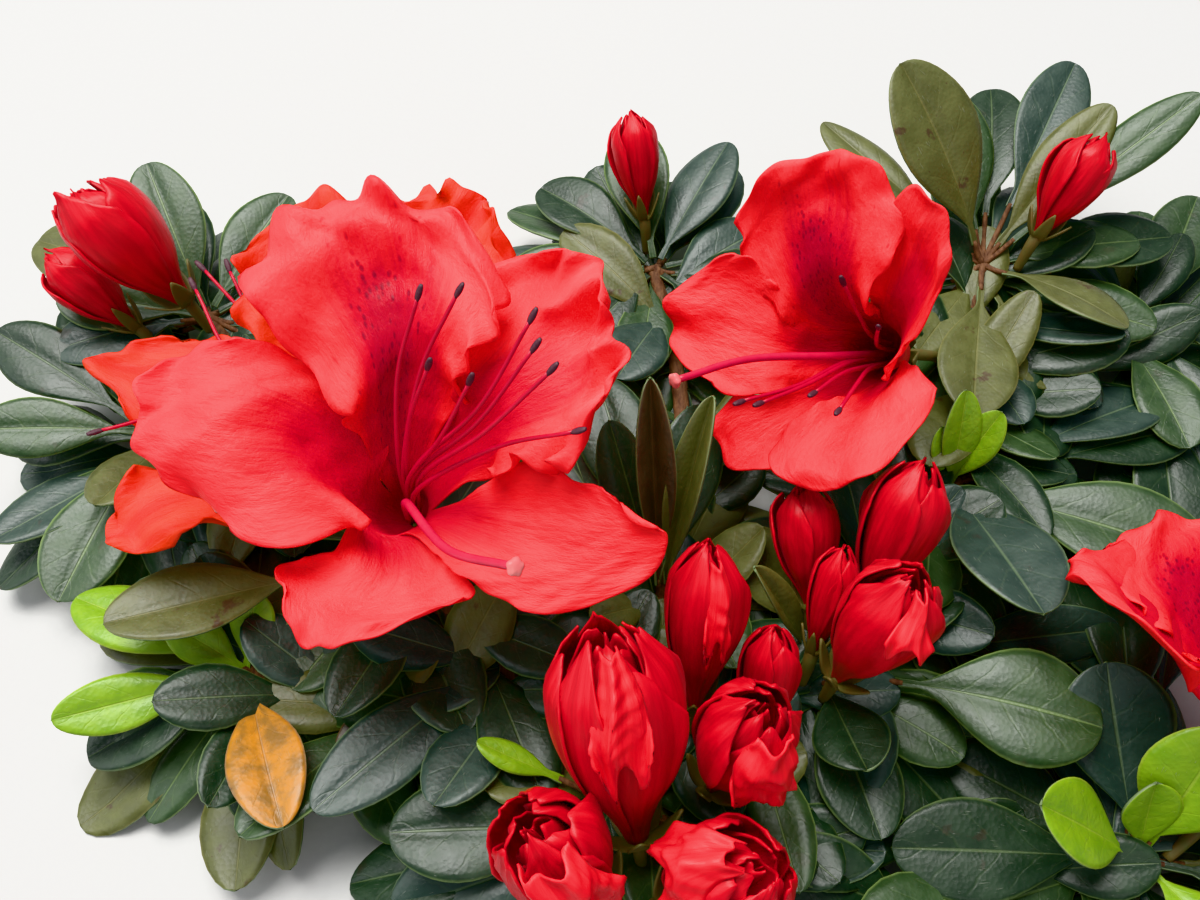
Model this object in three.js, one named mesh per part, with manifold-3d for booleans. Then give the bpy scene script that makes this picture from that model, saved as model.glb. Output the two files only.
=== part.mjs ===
// Azalea flowering branch, cut from the shrub and lying on its side.
// Millimetres, +Z up, the surface it lies on at z = 0. The cut end of the stem points to -Y,
// the shoots spread to +Y, and the blooms open upward.
import * as THREE from 'three';
import { mergeVertices } from 'three/addons/utils/BufferGeometryUtils.js';
import Module from 'manifold-3d';

const wasm = await Module();
wasm.setup();

// Driving dimensions
const GAP = 0.35;                 // clearance between pieces that touch
const STEM_RADIUS = 3.1;          // woody stem at the cut end
const FORK_RADIUS = 2.3;          // the same stem where it forks
const BOUGH_RADIUS = 1.7;         // a side bough where it leaves the stem
const TWIG_RADIUS = 1.1;          // a side bough where it enters its foliage
const STEM_SIDES = 8;
const STEM_STEP = 13;             // length of one faceted stretch of a stem or bough
const BOUGH_SIDES = 6;
const PETAL_THICK = 1.5;          // a petal and the air between its ruffles, as one wall
const TUBE_RADIUS = 3.2;          // corolla tube just above the calyx
const THROAT_RADIUS = 7.5;        // corolla tube where the petals part
const PEDICEL_RADIUS = 1.3;       // flower stalk
const BLOOM_COLUMNS = 20;         // facets round a bloom
const PETAL_HALF_TURN = 46;       // degrees that a petal covers each side of its middle
const NOTCH_DEPTH = 0.5;          // how far the rim falls back between two petals
const BUD_SIDES = 7;
const BUD_RINGS = 5;
const STALK_SIDES = 5;
const STALK_STEP = 9;             // length of one faceted stretch of a flower stalk
const PETAL_SHARE = 30;           // degrees over which one petal's height passes into the next
const LEAF_HALF_TURN = 25;        // degrees that a leaf covers in its mass
const MASS_COLUMNS = 18;
const MASS_RINGS = 8;
const MASS_BLEND = 5;             // how sharply a leaf's lobe parts from the core of its mass
const MASS_SETTLE = 3;            // how far a mass is pressed flat on the surface below it
const FACET_TOLERANCE = 0.12;     // facets smaller than this are merged into their neighbours

// Moves the lowest middle of the whole branch to the origin
const SHIFT = new THREE.Vector3(-11.1, 16.7, 0);

const FINISH = {
  bark: { color: 0x6b5240, roughness: 0.85, metalness: 0 },
  petal: { color: 0xe5392f, roughness: 0.55, metalness: 0 },
  bud: { color: 0xb80f1f, roughness: 0.5, metalness: 0 },
  leaf: { color: 0x36512f, roughness: 0.45, metalness: 0 },
};

const degrees = THREE.MathUtils.degToRad;
const point = (xyz) => new THREE.Vector3(...xyz);

// A direction by its turn round Z from +X and its lift above the floor
function heading(turn, lift) {
  const flat = Math.cos(degrees(lift));
  return new THREE.Vector3(
    flat * Math.cos(degrees(turn)), flat * Math.sin(degrees(turn)), Math.sin(degrees(lift)));
}

function angleBetween(a, b) {
  const turn = Math.abs(a - b) % 360;
  return Math.min(turn, 360 - turn);
}

// Solids and meshes

function solidOf(positions, triangles) {
  const geometry = new THREE.BufferGeometry();
  geometry.setAttribute('position', new THREE.Float32BufferAttribute(positions, 3));
  geometry.setIndex(triangles);
  const merged = mergeVertices(geometry, 1e-4);
  return new wasm.Manifold(new wasm.Mesh({
    numProp: 3,
    vertProperties: new Float32Array(merged.getAttribute('position').array),
    triVerts: new Uint32Array(merged.getIndex().array),
  }));
}

// Rings of points, each ring closed, with a point at each end: one closed body
function solidOfRings(rings, first, last) {
  const columns = rings[0].length;
  const points = [first, ...rings.flat(), last];
  const at = (ring, column) => 1 + ring * columns + (column % columns);
  const triangles = [];
  for (let c = 0; c < columns; c++) {
    triangles.push(0, at(0, c + 1), at(0, c));
    for (let r = 0; r + 1 < rings.length; r++) {
      triangles.push(at(r, c), at(r, c + 1), at(r + 1, c));
      triangles.push(at(r, c + 1), at(r + 1, c + 1), at(r + 1, c));
    }
    triangles.push(points.length - 1, at(rings.length - 1, c), at(rings.length - 1, c + 1));
  }
  return solidOf(points.flatMap((p) => [p.x, p.y, p.z]), triangles);
}

function largestPiece(solid) {
  const pieces = solid.decompose();
  return pieces.reduce((most, piece) => (piece.volume() > most.volume() ? piece : most));
}

// Stems, boughs and flower stalks: a smooth line with a radius that changes along it

function limb(route, radii, { sides = STEM_SIDES, step = STEM_STEP, grow = 0 } = {}) {
  const curve = new THREE.CatmullRomCurve3(route.map(point), false, 'centripetal');
  const steps = Math.max(2, Math.round(curve.getLength() / step));
  const frames = curve.computeFrenetFrames(steps, false);
  const radiusAt = (u) => {
    const place = u * (radii.length - 1);
    const low = Math.min(Math.floor(place), radii.length - 2);
    return THREE.MathUtils.lerp(radii[low], radii[low + 1], place - low) + grow;
  };
  const rings = [];
  for (let i = 0; i <= steps; i++) {
    const u = i / steps;
    const middle = curve.getPointAt(u);
    if (i === 0) middle.addScaledVector(frames.tangents[0], -grow);
    if (i === steps) middle.addScaledVector(frames.tangents[steps], grow);
    const ring = [];
    for (let c = 0; c < sides; c++) {
      const turn = (2 * Math.PI * c) / sides;
      ring.push(middle.clone()
        .addScaledVector(frames.normals[i], radiusAt(u) * Math.cos(turn))
        .addScaledVector(frames.binormals[i], radiusAt(u) * Math.sin(turn)));
    }
    rings.push(ring);
  }
  const middleOf = (ring) => ring.reduce((sum, p) => sum.add(p), new THREE.Vector3()).divideScalar(sides);
  return solidOfRings(rings, middleOf(rings[0]), middleOf(rings[steps]));
}

// Blooms: five petals parting from one funnel. A petal is [turn, reach, height]: its turn round
// the bloom's axis from the bloom's right, how far its tip stands from the axis, and how high.

const TUBE_LENGTH = 11;           // from the calyx to where the funnel starts to open
const THROAT_HEIGHT = 15;
const FLARE_POWER = 1.25;
const RISE_POWER = 1.7;

function petalEdge(petals, turn) {
  let reach = 0;
  let height = 0;
  let weight = 0;
  for (const [middle, petalReach, petalHeight] of petals) {
    const away = angleBetween(turn, middle);
    const share = Math.exp(-((away / PETAL_SHARE) ** 2));
    reach = Math.max(reach, petalReach * (1 - NOTCH_DEPTH * (away / PETAL_HALF_TURN) ** 3));
    height += petalHeight * share;
    weight += share;
  }
  return { reach, height: height / weight };
}

// Radius and height of the middle of the wall, from the throat (0) to the rim (1)
function petalLine(edge, s) {
  return new THREE.Vector2(
    THROAT_RADIUS + (edge.reach - THROAT_RADIUS) * s ** FLARE_POWER,
    THROAT_HEIGHT + (edge.height - THROAT_HEIGHT) * (1 - (1 - s) ** RISE_POWER));
}

function bloomFrame(bloom) {
  const axis = point(bloom.axis).normalize();
  const top = new THREE.Vector3(0, 1, 0).addScaledVector(axis, -axis.y).normalize();
  const right = top.clone().cross(axis);
  return (radius, turn, height) => point(bloom.base)
    .addScaledVector(right, radius * Math.cos(degrees(turn)))
    .addScaledVector(top, radius * Math.sin(degrees(turn)))
    .addScaledVector(axis, height);
}

function bloomSolid(bloom, { grow = 0, filled = false } = {}) {
  const place = bloomFrame(bloom);
  const half = PETAL_THICK / 2 + grow;
  const turns = [...Array(BLOOM_COLUMNS).keys()].map((c) => (360 * c) / BLOOM_COLUMNS);
  const tube = [
    [PEDICEL_RADIUS + grow, -grow], [TUBE_RADIUS + grow, 1], [TUBE_RADIUS + 1 + grow, TUBE_LENGTH - 2],
  ];
  const rings = tube.map(([radius, height]) => turns.map((turn) => place(radius, turn, height)));
  const stretch = (s, side) => turns.map((turn) => {
    const edge = petalEdge(bloom.petals, turn);
    const here = petalLine(edge, s);
    const ahead = petalLine(edge, Math.min(s + 0.05, 1));
    const behind = petalLine(edge, Math.max(s - 0.05, 0));
    const along = ahead.sub(behind).normalize();
    const reach = here.x + side * half * along.y + (s === 1 ? grow * along.x : 0);
    const height = here.y - side * half * along.x + (s === 1 ? grow * along.y : 0);
    return place(reach, turn, height);
  });
  for (const s of [0, 0.3, 0.65, 1]) rings.push(stretch(s, 1));
  if (filled) {
    const rim = Math.max(...bloom.petals.map((petal) => petal[2]));
    return solidOfRings([...rings, stretch(1, -1)], place(0, 0, -grow), place(0, 0, rim + grow));
  }
  for (const s of [1, 0.65, 0.3, 0]) rings.push(stretch(s, -1));
  rings.push(turns.map((turn) => place(TUBE_RADIUS - 0.6, turn, TUBE_LENGTH - 3)));
  return solidOfRings(rings, place(0, 0, -grow), place(0, 0, TUBE_LENGTH - 4));
}

const BLOOMS = {
  bloom_left: {
    from: [-32, -5, 15], base: [-27, -6, 24], axis: [-0.05, -0.18, 0.98],
    petals: [[88, 36, 34], [34, 37, 33], [-22, 36, 26], [-110, 25, 18], [166, 33, 29]],
  },
  bloom_behind: {
    from: [-34, -2, 13], base: [-38, 9, 12], axis: [-0.12, 0.06, 0.99],
    petals: [[92, 35, 32], [46, 37, 31], [-50, 24, 15], [-148, 37, 19], [170, 35, 24]],
  },
  bloom_right: {
    from: [60, 30, 13], base: [48, 24, 25], axis: [-0.57, -0.45, 0.685],
    petals: [[68, 25, 31], [14, 22, 31], [-84, 22, 31], [-150, 23, 31], [146, 24, 32]],
  },
  bloom_far_right: {
    from: [78, -50, 10], base: [86, -42, 14], axis: [0.1, 0.6, 0.79],
    petals: [[100, 24, 30], [30, 25, 30], [-42, 24, 27], [-112, 23, 27], [172, 26, 30]],
  },
};

// Buds: furled petals in a spindle, its foot deep in the foliage. A bud goes from its foot to its tip.

const BUD_OUTLINE = [0.2, 0.8, 1, 0.92, 0.6, 0.15];

function budSolid(bud, grow = 0) {
  const foot = point(bud.foot);
  const tip = point(bud.tip);
  const radii = BUD_OUTLINE.map((share) => share * bud.radius);
  const route = [0, 0.5, 1].map((u) => foot.clone().lerp(tip, u).toArray());
  return limb(route, radii, { sides: BUD_SIDES, step: foot.distanceTo(tip) / BUD_RINGS, grow });
}

const BUDS = {
  bud_near_big: { foot: [5, -49, 18], tip: [0, -29, 44], radius: 9 },
  bud_near_left: { foot: [0, -55, 15], tip: [-9, -51, 38], radius: 7 },
  bud_near_right: { foot: [9, -57, 15], tip: [20, -55, 35], radius: 7.5 },
  bud_mid_upper: { foot: [13, -32, 19], tip: [14, -17, 43], radius: 6 },
  bud_mid_front: { foot: [15, -42, 18], tip: [20, -38, 43], radius: 6.5 },
  bud_mid_back: { foot: [22, -35, 15], tip: [23, -25, 34], radius: 4.5 },
  bud_right_big: { foot: [33, -28, 21], tip: [39, -23, 46], radius: 7 },
  bud_right_upper: { foot: [38, -17, 19], tip: [44, -4, 41], radius: 6.5 },
  bud_right_back: { foot: [31, -16, 17], tip: [29, -2, 31], radius: 5.5 },
  bud_right_small: { foot: [30, -24, 20], tip: [33, -14, 35], radius: 3.5 },
  bud_top_right: { foot: [74, 48, 25], tip: [82, 57, 40], radius: 5.5 },
  bud_opening_left: { foot: [-68, 35, 24], tip: [-81, 42, 44], radius: 7 },
  bud_back_left: { foot: [-78, 34, 18], tip: [-90, 40, 31], radius: 5 },
  bud_back_middle: { foot: [8, 59, 17], tip: [5, 70, 33], radius: 4.5 },
};

// Foliage: each shoot's leaves as one uneven mass. A leaf is [turn, lift, reach] from the shoot's
// tip, and the core is the mass's half width, half depth and half height without its leaves.

function massSolid(mass, grow = 0) {
  const middle = point(mass.at);
  const leaves = mass.leaves.map(([turn, lift, reach]) => ({ way: heading(turn, lift), reach }));
  const [wide, deep, tall] = mass.core;
  const radiusAlong = (way) => {
    const high = way.z < 0 ? middle.z + MASS_SETTLE : tall;
    const core = 1 / Math.hypot(way.x / wide, way.y / deep, way.z / high);
    let sum = core ** MASS_BLEND;
    for (const leaf of leaves) {
      const away = THREE.MathUtils.radToDeg(way.angleTo(leaf.way));
      sum += (leaf.reach * Math.exp(-((away / LEAF_HALF_TURN) ** 2))) ** MASS_BLEND;
    }
    const reach = sum ** (1 / MASS_BLEND) + grow;
    const floor = way.z < 0 ? (middle.z + grow) / -way.z : Infinity;
    return Math.min(reach, floor);
  };
  const along = (way) => middle.clone().addScaledVector(way, radiusAlong(way));
  const rings = [];
  for (let r = 1; r < MASS_RINGS; r++) {
    const lift = -90 + (180 * r) / MASS_RINGS;
    rings.push([...Array(MASS_COLUMNS).keys()].map((c) => along(heading((360 * c) / MASS_COLUMNS, lift))));
  }
  return solidOfRings(rings, along(heading(0, -90)), along(heading(0, 90)));
}

const MASSES = {
  leaves_left_truss: {
    at: [-32, -6, 13], core: [15, 15, 10],
    leaves: [[-160, 10, 41], [-60, -5, 24], [60, -5, 26], [115, -10, 24], [-110, -10, 22]],
  },
  leaves_left_stalk: {
    at: [-14, -21, 11], core: [12, 12, 8],
    leaves: [[-136, 8, 34], [-95, -5, 22], [-30, 5, 14], [60, -5, 20]],
  },
  leaves_lower_left: {
    at: [-53, -23, 10], core: [14, 13, 8],
    leaves: [[-160, 8, 28], [158, 5, 28], [110, 20, 18], [-68, -8, 25], [-20, 0, 20], [-115, 0, 22]],
  },
  leaves_far_left: {
    at: [-75, 18, 11], core: [14, 14, 9],
    leaves: [[-172, 10, 26], [-105, -8, 29], [-138, -8, 31], [145, 15, 30], [-50, -5, 20]],
  },
  leaves_upper_left: {
    at: [-68, 39, 15], core: [14, 14, 10],
    leaves: [[115, 25, 28], [62, 8, 27], [180, 12, 25], [152, 5, 32], [92, 0, 26], [25, 0, 22]],
  },
  leaves_middle: {
    at: [9, -14, 14], core: [13, 12, 12],
    leaves: [[97, 58, 37], [68, 55, 35], [115, 25, 26], [75, 15, 29], [20, 15, 24], [-155, 20, 18]],
  },
  leaves_near: {
    at: [9, -46, 11], core: [17, 14, 9],
    leaves: [
      [-176, 5, 38], [160, 15, 30], [-40, -3, 27], [0, -3, 33], [-140, -5, 27], [-85, 0, 20], [30, 0, 26],
    ],
  },
  leaves_back: {
    at: [10, 52, 12], core: [15, 15, 9],
    leaves: [
      [100, 15, 29], [140, 5, 28], [60, 15, 29], [15, 0, 27], [-175, 0, 27], [-130, 0, 25], [-50, 0, 24],
    ],
  },
  leaves_right_truss: {
    at: [32, -23, 12], core: [14, 13, 10],
    leaves: [[160, 45, 27], [-85, 10, 25], [-50, -5, 35], [-18, 12, 38], [8, 0, 40], [-120, -8, 22]],
  },
  leaves_right: {
    at: [56, 7, 13], core: [14, 14, 10],
    leaves: [[-68, 12, 31], [-25, 8, 38], [88, 50, 20], [20, -4, 36], [150, -5, 24], [-125, -5, 22]],
  },
  leaves_top_right: {
    at: [67, 48, 17], core: [15, 15, 13],
    leaves: [
      [132, 42, 37], [55, 45, 36], [62, 12, 41], [28, 25, 40], [-42, 12, 28], [-105, 0, 33], [140, 3, 38],
      [98, 8, 35],
    ],
  },
  leaves_right_mid: {
    at: [97, 40, 11], core: [13, 13, 9],
    leaves: [[60, 5, 28], [10, 0, 25], [-75, 0, 25], [-30, 5, 22]],
  },
  leaves_lower_right: {
    at: [74, -50, 10], core: [16, 14, 9],
    leaves: [
      [98, 20, 26], [150, 25, 22], [180, 0, 31], [-60, 15, 24], [-115, -3, 27], [-15, 5, 28], [35, 5, 24],
    ],
  },
};

// The woody frame: the stem from its cut end to its fork, and the boughs that leave it

const STEM_ROUTE = [[4, -112, 3.2], [4, -104, 3.2], [1, -88, 3.6], [5, -68, 5], [4, -54, 7], [5, -42, 9]];
const BOUGHS = {
  bough_left: [[5, -44, 8.5], [-6, -33, 10], [-18, -20, 11], [-32, -6, 12]],
  bough_lower_left: [[-14, -25, 10.4], [-30, -29, 8], [-53, -23, 9]],
  bough_upper_left: [[-30, -9, 11], [-44, 8, 8], [-55, 24, 9], [-68, 39, 14]],
  bough_far_left: [[-50, 17, 8.5], [-62, 19, 7], [-75, 18, 10]],
  bough_middle: [[5, -43, 9], [9, -30, 9], [9, -15, 13]],
  bough_back: [[9, -15, 10], [13, 6, 6], [14, 28, 7], [10, 52, 11]],
  bough_right_truss: [[5, -44, 8], [18, -34, 9], [32, -23, 11]],
  bough_right: [[32, -23, 10], [44, -8, 10], [56, 7, 13]],
  bough_top_right: [[56, 8, 12], [61, 26, 12], [67, 48, 16]],
  bough_right_mid: [[60, 24, 11], [78, 30, 7], [97, 42, 10]],
  bough_lower_right: [[6, -50, 7], [28, -55, 5], [52, -52, 6], [74, -50, 9]],
};

// Carving order: a later piece gives way to every earlier one that it meets

const pieces = [];

function addPiece(name, finish, foot, build, cutter = build) {
  let solid = build(0);
  for (const earlier of pieces) {
    if (earlier.cutter.intersect(solid).volume() > 0) solid = solid.subtract(earlier.cutter);
  }
  const whole = largestPiece(solid).simplify(FACET_TOLERANCE);
  pieces.push({ name, finish, foot: point(foot), solid: whole, cutter: cutter(GAP) });
}

for (const [name, bloom] of Object.entries(BLOOMS)) {
  const stalk = (grow) => limb(
    [bloom.from, point(bloom.from).lerp(point(bloom.base), 0.5).toArray(), bloom.base],
    [PEDICEL_RADIUS, PEDICEL_RADIUS], { sides: STALK_SIDES, step: STALK_STEP, grow });
  addPiece(name, 'petal', bloom.base,
    (grow) => bloomSolid(bloom, { grow }).add(stalk(grow)),
    (grow) => bloomSolid(bloom, { grow, filled: true }).add(stalk(grow)));
}
for (const [name, bud] of Object.entries(BUDS)) {
  addPiece(name, 'bud', bud.foot, (grow) => budSolid(bud, grow));
}
for (const [name, mass] of Object.entries(MASSES)) {
  addPiece(name, 'leaf', mass.at, (grow) => massSolid(mass, grow));
}
addPiece('main_stem', 'bark', STEM_ROUTE[0],
  (grow) => limb(STEM_ROUTE, [STEM_RADIUS, FORK_RADIUS], { grow }));
for (const [name, route] of Object.entries(BOUGHS)) {
  addPiece(name, 'bark', route[0],
    (grow) => limb(route, [BOUGH_RADIUS, TWIG_RADIUS], { sides: BOUGH_SIDES, grow }));
}

// The branch: one named mesh for each piece, standing at its own foot

function meshOf({ name, finish, foot, solid }) {
  const { vertProperties, triVerts } = solid.getMesh();
  const geometry = new THREE.BufferGeometry();
  geometry.setAttribute('position', new THREE.BufferAttribute(new Float32Array(vertProperties), 3));
  geometry.setIndex(new THREE.BufferAttribute(new Uint32Array(triVerts), 1));
  geometry.translate(-foot.x, -foot.y, -foot.z);
  geometry.computeVertexNormals();
  const mesh = new THREE.Mesh(geometry, new THREE.MeshStandardMaterial(FINISH[finish]));
  mesh.name = name;
  mesh.position.copy(foot);
  return mesh;
}

const branch = new THREE.Group();
branch.name = 'azalea_branch';
branch.position.copy(SHIFT);
for (const piece of pieces) branch.add(meshOf(piece));

export default branch;
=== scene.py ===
# Azalea flowering branch, cut from the shrub and laid on a pale surface.
# Lengths are in millimetres in the branch's own layout, and place() turns them into the
# frame's metres.
import math

import bpy
import numpy as np
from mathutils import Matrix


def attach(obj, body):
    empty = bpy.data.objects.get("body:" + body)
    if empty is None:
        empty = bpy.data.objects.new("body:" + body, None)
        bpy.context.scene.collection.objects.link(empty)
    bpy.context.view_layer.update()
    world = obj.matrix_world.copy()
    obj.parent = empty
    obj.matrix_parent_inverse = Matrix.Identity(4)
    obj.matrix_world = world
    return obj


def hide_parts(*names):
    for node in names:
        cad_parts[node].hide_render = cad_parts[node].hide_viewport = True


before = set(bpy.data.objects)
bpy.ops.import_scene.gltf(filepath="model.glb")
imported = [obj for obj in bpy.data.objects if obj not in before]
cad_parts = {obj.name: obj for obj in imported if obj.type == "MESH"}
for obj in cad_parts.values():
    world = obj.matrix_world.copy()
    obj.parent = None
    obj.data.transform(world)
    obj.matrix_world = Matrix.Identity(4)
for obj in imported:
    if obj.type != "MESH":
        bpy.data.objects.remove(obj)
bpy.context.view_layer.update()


# The surface, the light and the camera
# The branch lies on a plain pale surface. A wide soft light hangs above it, with two weaker ones at
# its side and in front, and the camera looks down on it at sixty degrees.
MM = 0.001
SHIFT = np.array((-11.1, 16.7, 0.0))
VIEW_LIFT = math.radians(60)
VIEW_ANGLE = math.radians(56)
VIEW_WIDTH = 168
SENSOR_WIDTH = 36
AIM = np.array((0.0, 0.0, 36.0))
LIGHT_AIM = (0, 0, 20)
LIGHTS = {
    "top_light": ((-110, 190, 620), (480, 380), 7.6, (1.0, 0.99, 0.97)),
    "side_light": ((-620, -60, 330), (500, 400), 1.3, (0.95, 0.97, 1.0)),
    "front_light": ((180, -560, 420), (500, 400), 0.8, (1.0, 0.98, 0.95)),
}
SKY_COLOUR, SKY_STRENGTH = (0.86, 0.9, 1.0, 1), 0.34
SURFACE_HALF, SURFACE_GRAIN = 8, 900.0
SURFACE_TONES = (0.60, 0.595, 0.58), (0.65, 0.645, 0.63)


def place(points):
    return (np.asarray(points, float) + SHIFT) * MM


def put(name, data):
    thing = bpy.data.objects.new(name, data)
    bpy.context.scene.collection.objects.link(thing)
    return thing


def stand(name, data, spot, aim):
    """Puts a lamp or the camera at a spot, looking at its aim."""
    thing = put(name, data)
    thing.location = place(spot)
    way = place(aim) - place(spot)
    flat = math.hypot(way[0], way[1])
    thing.rotation_euler = (math.atan2(flat, -way[2]), 0, math.atan2(-way[0], way[1]))
    return thing


lens = bpy.data.cameras.new("camera")
lens.sensor_width = SENSOR_WIDTH
lens.lens = SENSOR_WIDTH / (2 * math.tan(VIEW_ANGLE / 2))
lens.clip_start = 10 * MM
view_distance = VIEW_WIDTH / 2 / math.tan(VIEW_ANGLE / 2)
eye = AIM + view_distance * np.array((0, -math.cos(VIEW_LIFT), math.sin(VIEW_LIFT)))
bpy.context.scene.camera = stand("camera", lens, eye, AIM)

for name, (spot, size, power, colour) in LIGHTS.items():
    lamp = bpy.data.lights.new(name, "AREA")
    lamp.shape = "RECTANGLE"
    lamp.size, lamp.size_y = size[0] * MM, size[1] * MM
    lamp.energy = power
    lamp.color = colour
    stand(name, lamp, spot, LIGHT_AIM)

bpy.context.scene.view_settings.view_transform = "Khronos PBR Neutral"
world = bpy.data.worlds.new("studio")
bpy.context.scene.world = world
world.use_nodes = True
world.node_tree.nodes["Background"].inputs["Color"].default_value = SKY_COLOUR
world.node_tree.nodes["Background"].inputs["Strength"].default_value = SKY_STRENGTH


def add(tree, kind, output, inputs, **settings):
    """Adds a shader node, sets or links its inputs and gives one of its outputs."""
    made = tree.nodes.new(kind)
    for key, value in settings.items():
        setattr(made, key, value)
    for key, value in inputs.items():
        if isinstance(value, bpy.types.NodeSocket):
            tree.links.new(value, made.inputs[key])
        else:
            made.inputs[key].default_value = value
    return made.outputs[output]


def noise(tree, spot, scale, detail=2.0, rough=0.5):
    """Soft noise; its scale is one number, or one for each direction."""
    if isinstance(scale, tuple):
        spot = add(tree, "ShaderNodeMapping", "Vector", {"Vector": spot, "Scale": scale})
        scale = 1.0
    values = {"Vector": spot, "Scale": scale, "Detail": detail, "Roughness": rough}
    return add(tree, "ShaderNodeTexNoise", "Fac", values)


def blend(tree, share, under, over):
    under, over = ((*colour, 1) if isinstance(colour, tuple) else colour for colour in (under, over))
    return add(tree, "ShaderNodeMix", "Result", {"Factor": share, "A": under, "B": over}, data_type="RGBA")


def object_spot(tree):
    return add(tree, "ShaderNodeTexCoord", "Object", {})


def new_material(name, sockets):
    """A material whose shader has these values, which are the same all over it."""
    material = bpy.data.materials.new(name)
    material.use_nodes = True
    shader = material.node_tree.nodes["Principled BSDF"]
    for socket, value in sockets.items():
        shader.inputs[socket].default_value = value
    return material, material.node_tree, shader


surface_finish, tree, shader = new_material("pale_surface", {"Roughness": 0.85})
tone = blend(tree, noise(tree, object_spot(tree), SURFACE_GRAIN), *SURFACE_TONES)
tree.links.new(tone, shader.inputs["Base Color"])
surface_mesh = bpy.data.meshes.new("surface")
corners = [(x * SURFACE_HALF, y * SURFACE_HALF, 0) for x, y in ((-1, -1), (1, -1), (1, 1), (-1, 1))]
surface_mesh.from_pydata(corners, [], [(0, 1, 2, 3)])
surface_mesh.materials.append(surface_finish)
put("surface", surface_mesh)


# The stem and its boughs
# Green wood under thin brown bark, cracked lengthwise, about six millimetres thick at the straight
# cut. The boughs leave it at its fork and thin out to the leafy ends, with low leaf scars on them.
STEM_ROUTE = [(4, -112, 3.2), (4, -104, 3.2), (1, -88, 3.6), (5, -68, 5), (4, -54, 7), (5, -42, 9)]
STEM_RADIUS, FORK_RADIUS = 3.1, 2.3
BOUGH_RADIUS, TWIG_RADIUS = 1.7, 1.1
BOUGHS = {
    "bough_left": [(5, -44, 8.5), (-6, -33, 10), (-18, -20, 11), (-32, -6, 12)],
    "bough_lower_left": [(-14, -25, 10.4), (-30, -29, 8), (-53, -23, 9)],
    "bough_upper_left": [(-30, -9, 11), (-44, 8, 8), (-55, 24, 9), (-68, 39, 14)],
    "bough_far_left": [(-50, 17, 8.5), (-62, 19, 7), (-75, 18, 10)],
    "bough_middle": [(5, -43, 9), (9, -30, 9), (9, -15, 13)],
    "bough_back": [(9, -15, 10), (13, 6, 6), (14, 28, 7), (10, 52, 11)],
    "bough_right_truss": [(5, -44, 8), (18, -34, 9), (32, -23, 11)],
    "bough_right": [(32, -23, 10), (44, -8, 10), (56, 7, 13)],
    "bough_top_right": [(56, 8, 12), (61, 26, 12), (67, 48, 16)],
    "bough_right_mid": [(60, 24, 11), (78, 30, 7), (97, 42, 10)],
    "bough_lower_right": [(6, -50, 7), (28, -55, 5), (52, -52, 6), (74, -50, 9)],
}
BARK_STEP = 0.8
STEM_SIDES, BOUGH_SIDES = 28, 18
STEM_SEED, BOUGH_SEED = 11, 20
STEM_RIDGE, BOUGH_RIDGE = 0.05, 0.06
FEWEST_RIDGES, MOST_RIDGES = 3, 8
SCAR_HEIGHT, SCAR_LENGTH, SCAR_WIDTH = 0.28, 0.9, 0.6
FIRST_SCAR, SCAR_GAP, BARE_END = (4, 9), (5, 11), 4
LIMB_WANDER = 0.06
BARK_RELIEF = (0.6, 0.0003)
BARK_TONES = {
    "brown_bark": ((0.035, 0.022, 0.015), (0.16, 0.105, 0.07)),
    "young_bark": ((0.07, 0.028, 0.015), (0.20, 0.10, 0.05)),
}


def unit(vector):
    return vector / np.maximum(np.linalg.norm(vector, axis=-1, keepdims=True), 1e-9)


def curve_at(route, spots):
    """Places on the smooth curve through the route; a spot of 2.5 is halfway from its third point
    to its fourth."""
    route = np.asarray(route, float)
    spots = np.asarray(spots, float)[..., None]
    ends = np.concatenate((2 * route[:1] - route[1:2], route, 2 * route[-1:] - route[-2:-1]))
    first = np.clip(np.floor(spots[..., 0]).astype(int), 0, len(route) - 2)
    t = spots - first[..., None]
    before, start, stop, after = (ends[first + k] for k in range(4))
    return 0.5 * (2 * start + (stop - before) * t
                  + (2 * before - 5 * start + 4 * stop - after) * t ** 2
                  + (3 * start - before - 3 * stop + after) * t ** 3)


def lengths_along(line):
    return np.concatenate(([0], np.cumsum(np.linalg.norm(np.diff(line, axis=0), axis=1))))


def smooth_line(route, count):
    """Points evenly spaced on a smooth curve through the route."""
    fine = curve_at(route, np.linspace(0, len(route) - 1, 24 * (len(route) - 1) + 1))
    along = lengths_along(fine)
    even = np.linspace(0, along[-1], count)
    return np.stack([np.interp(even, along, fine[:, k]) for k in range(3)], axis=1)


def round_turns(sides):
    return np.linspace(0, 2 * math.pi, sides, endpoint=False)[None, :]


def grid_faces(rows, columns, closed=False, start=0):
    row = np.arange(rows - 1)[:, None] * columns + start
    column = np.arange(columns if closed else columns - 1)[None, :]
    after = (column + 1) % columns
    corners = (row + column, row + after, row + columns + after, row + columns + column)
    return np.stack(corners, axis=-1).reshape(-1, 4)


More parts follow.
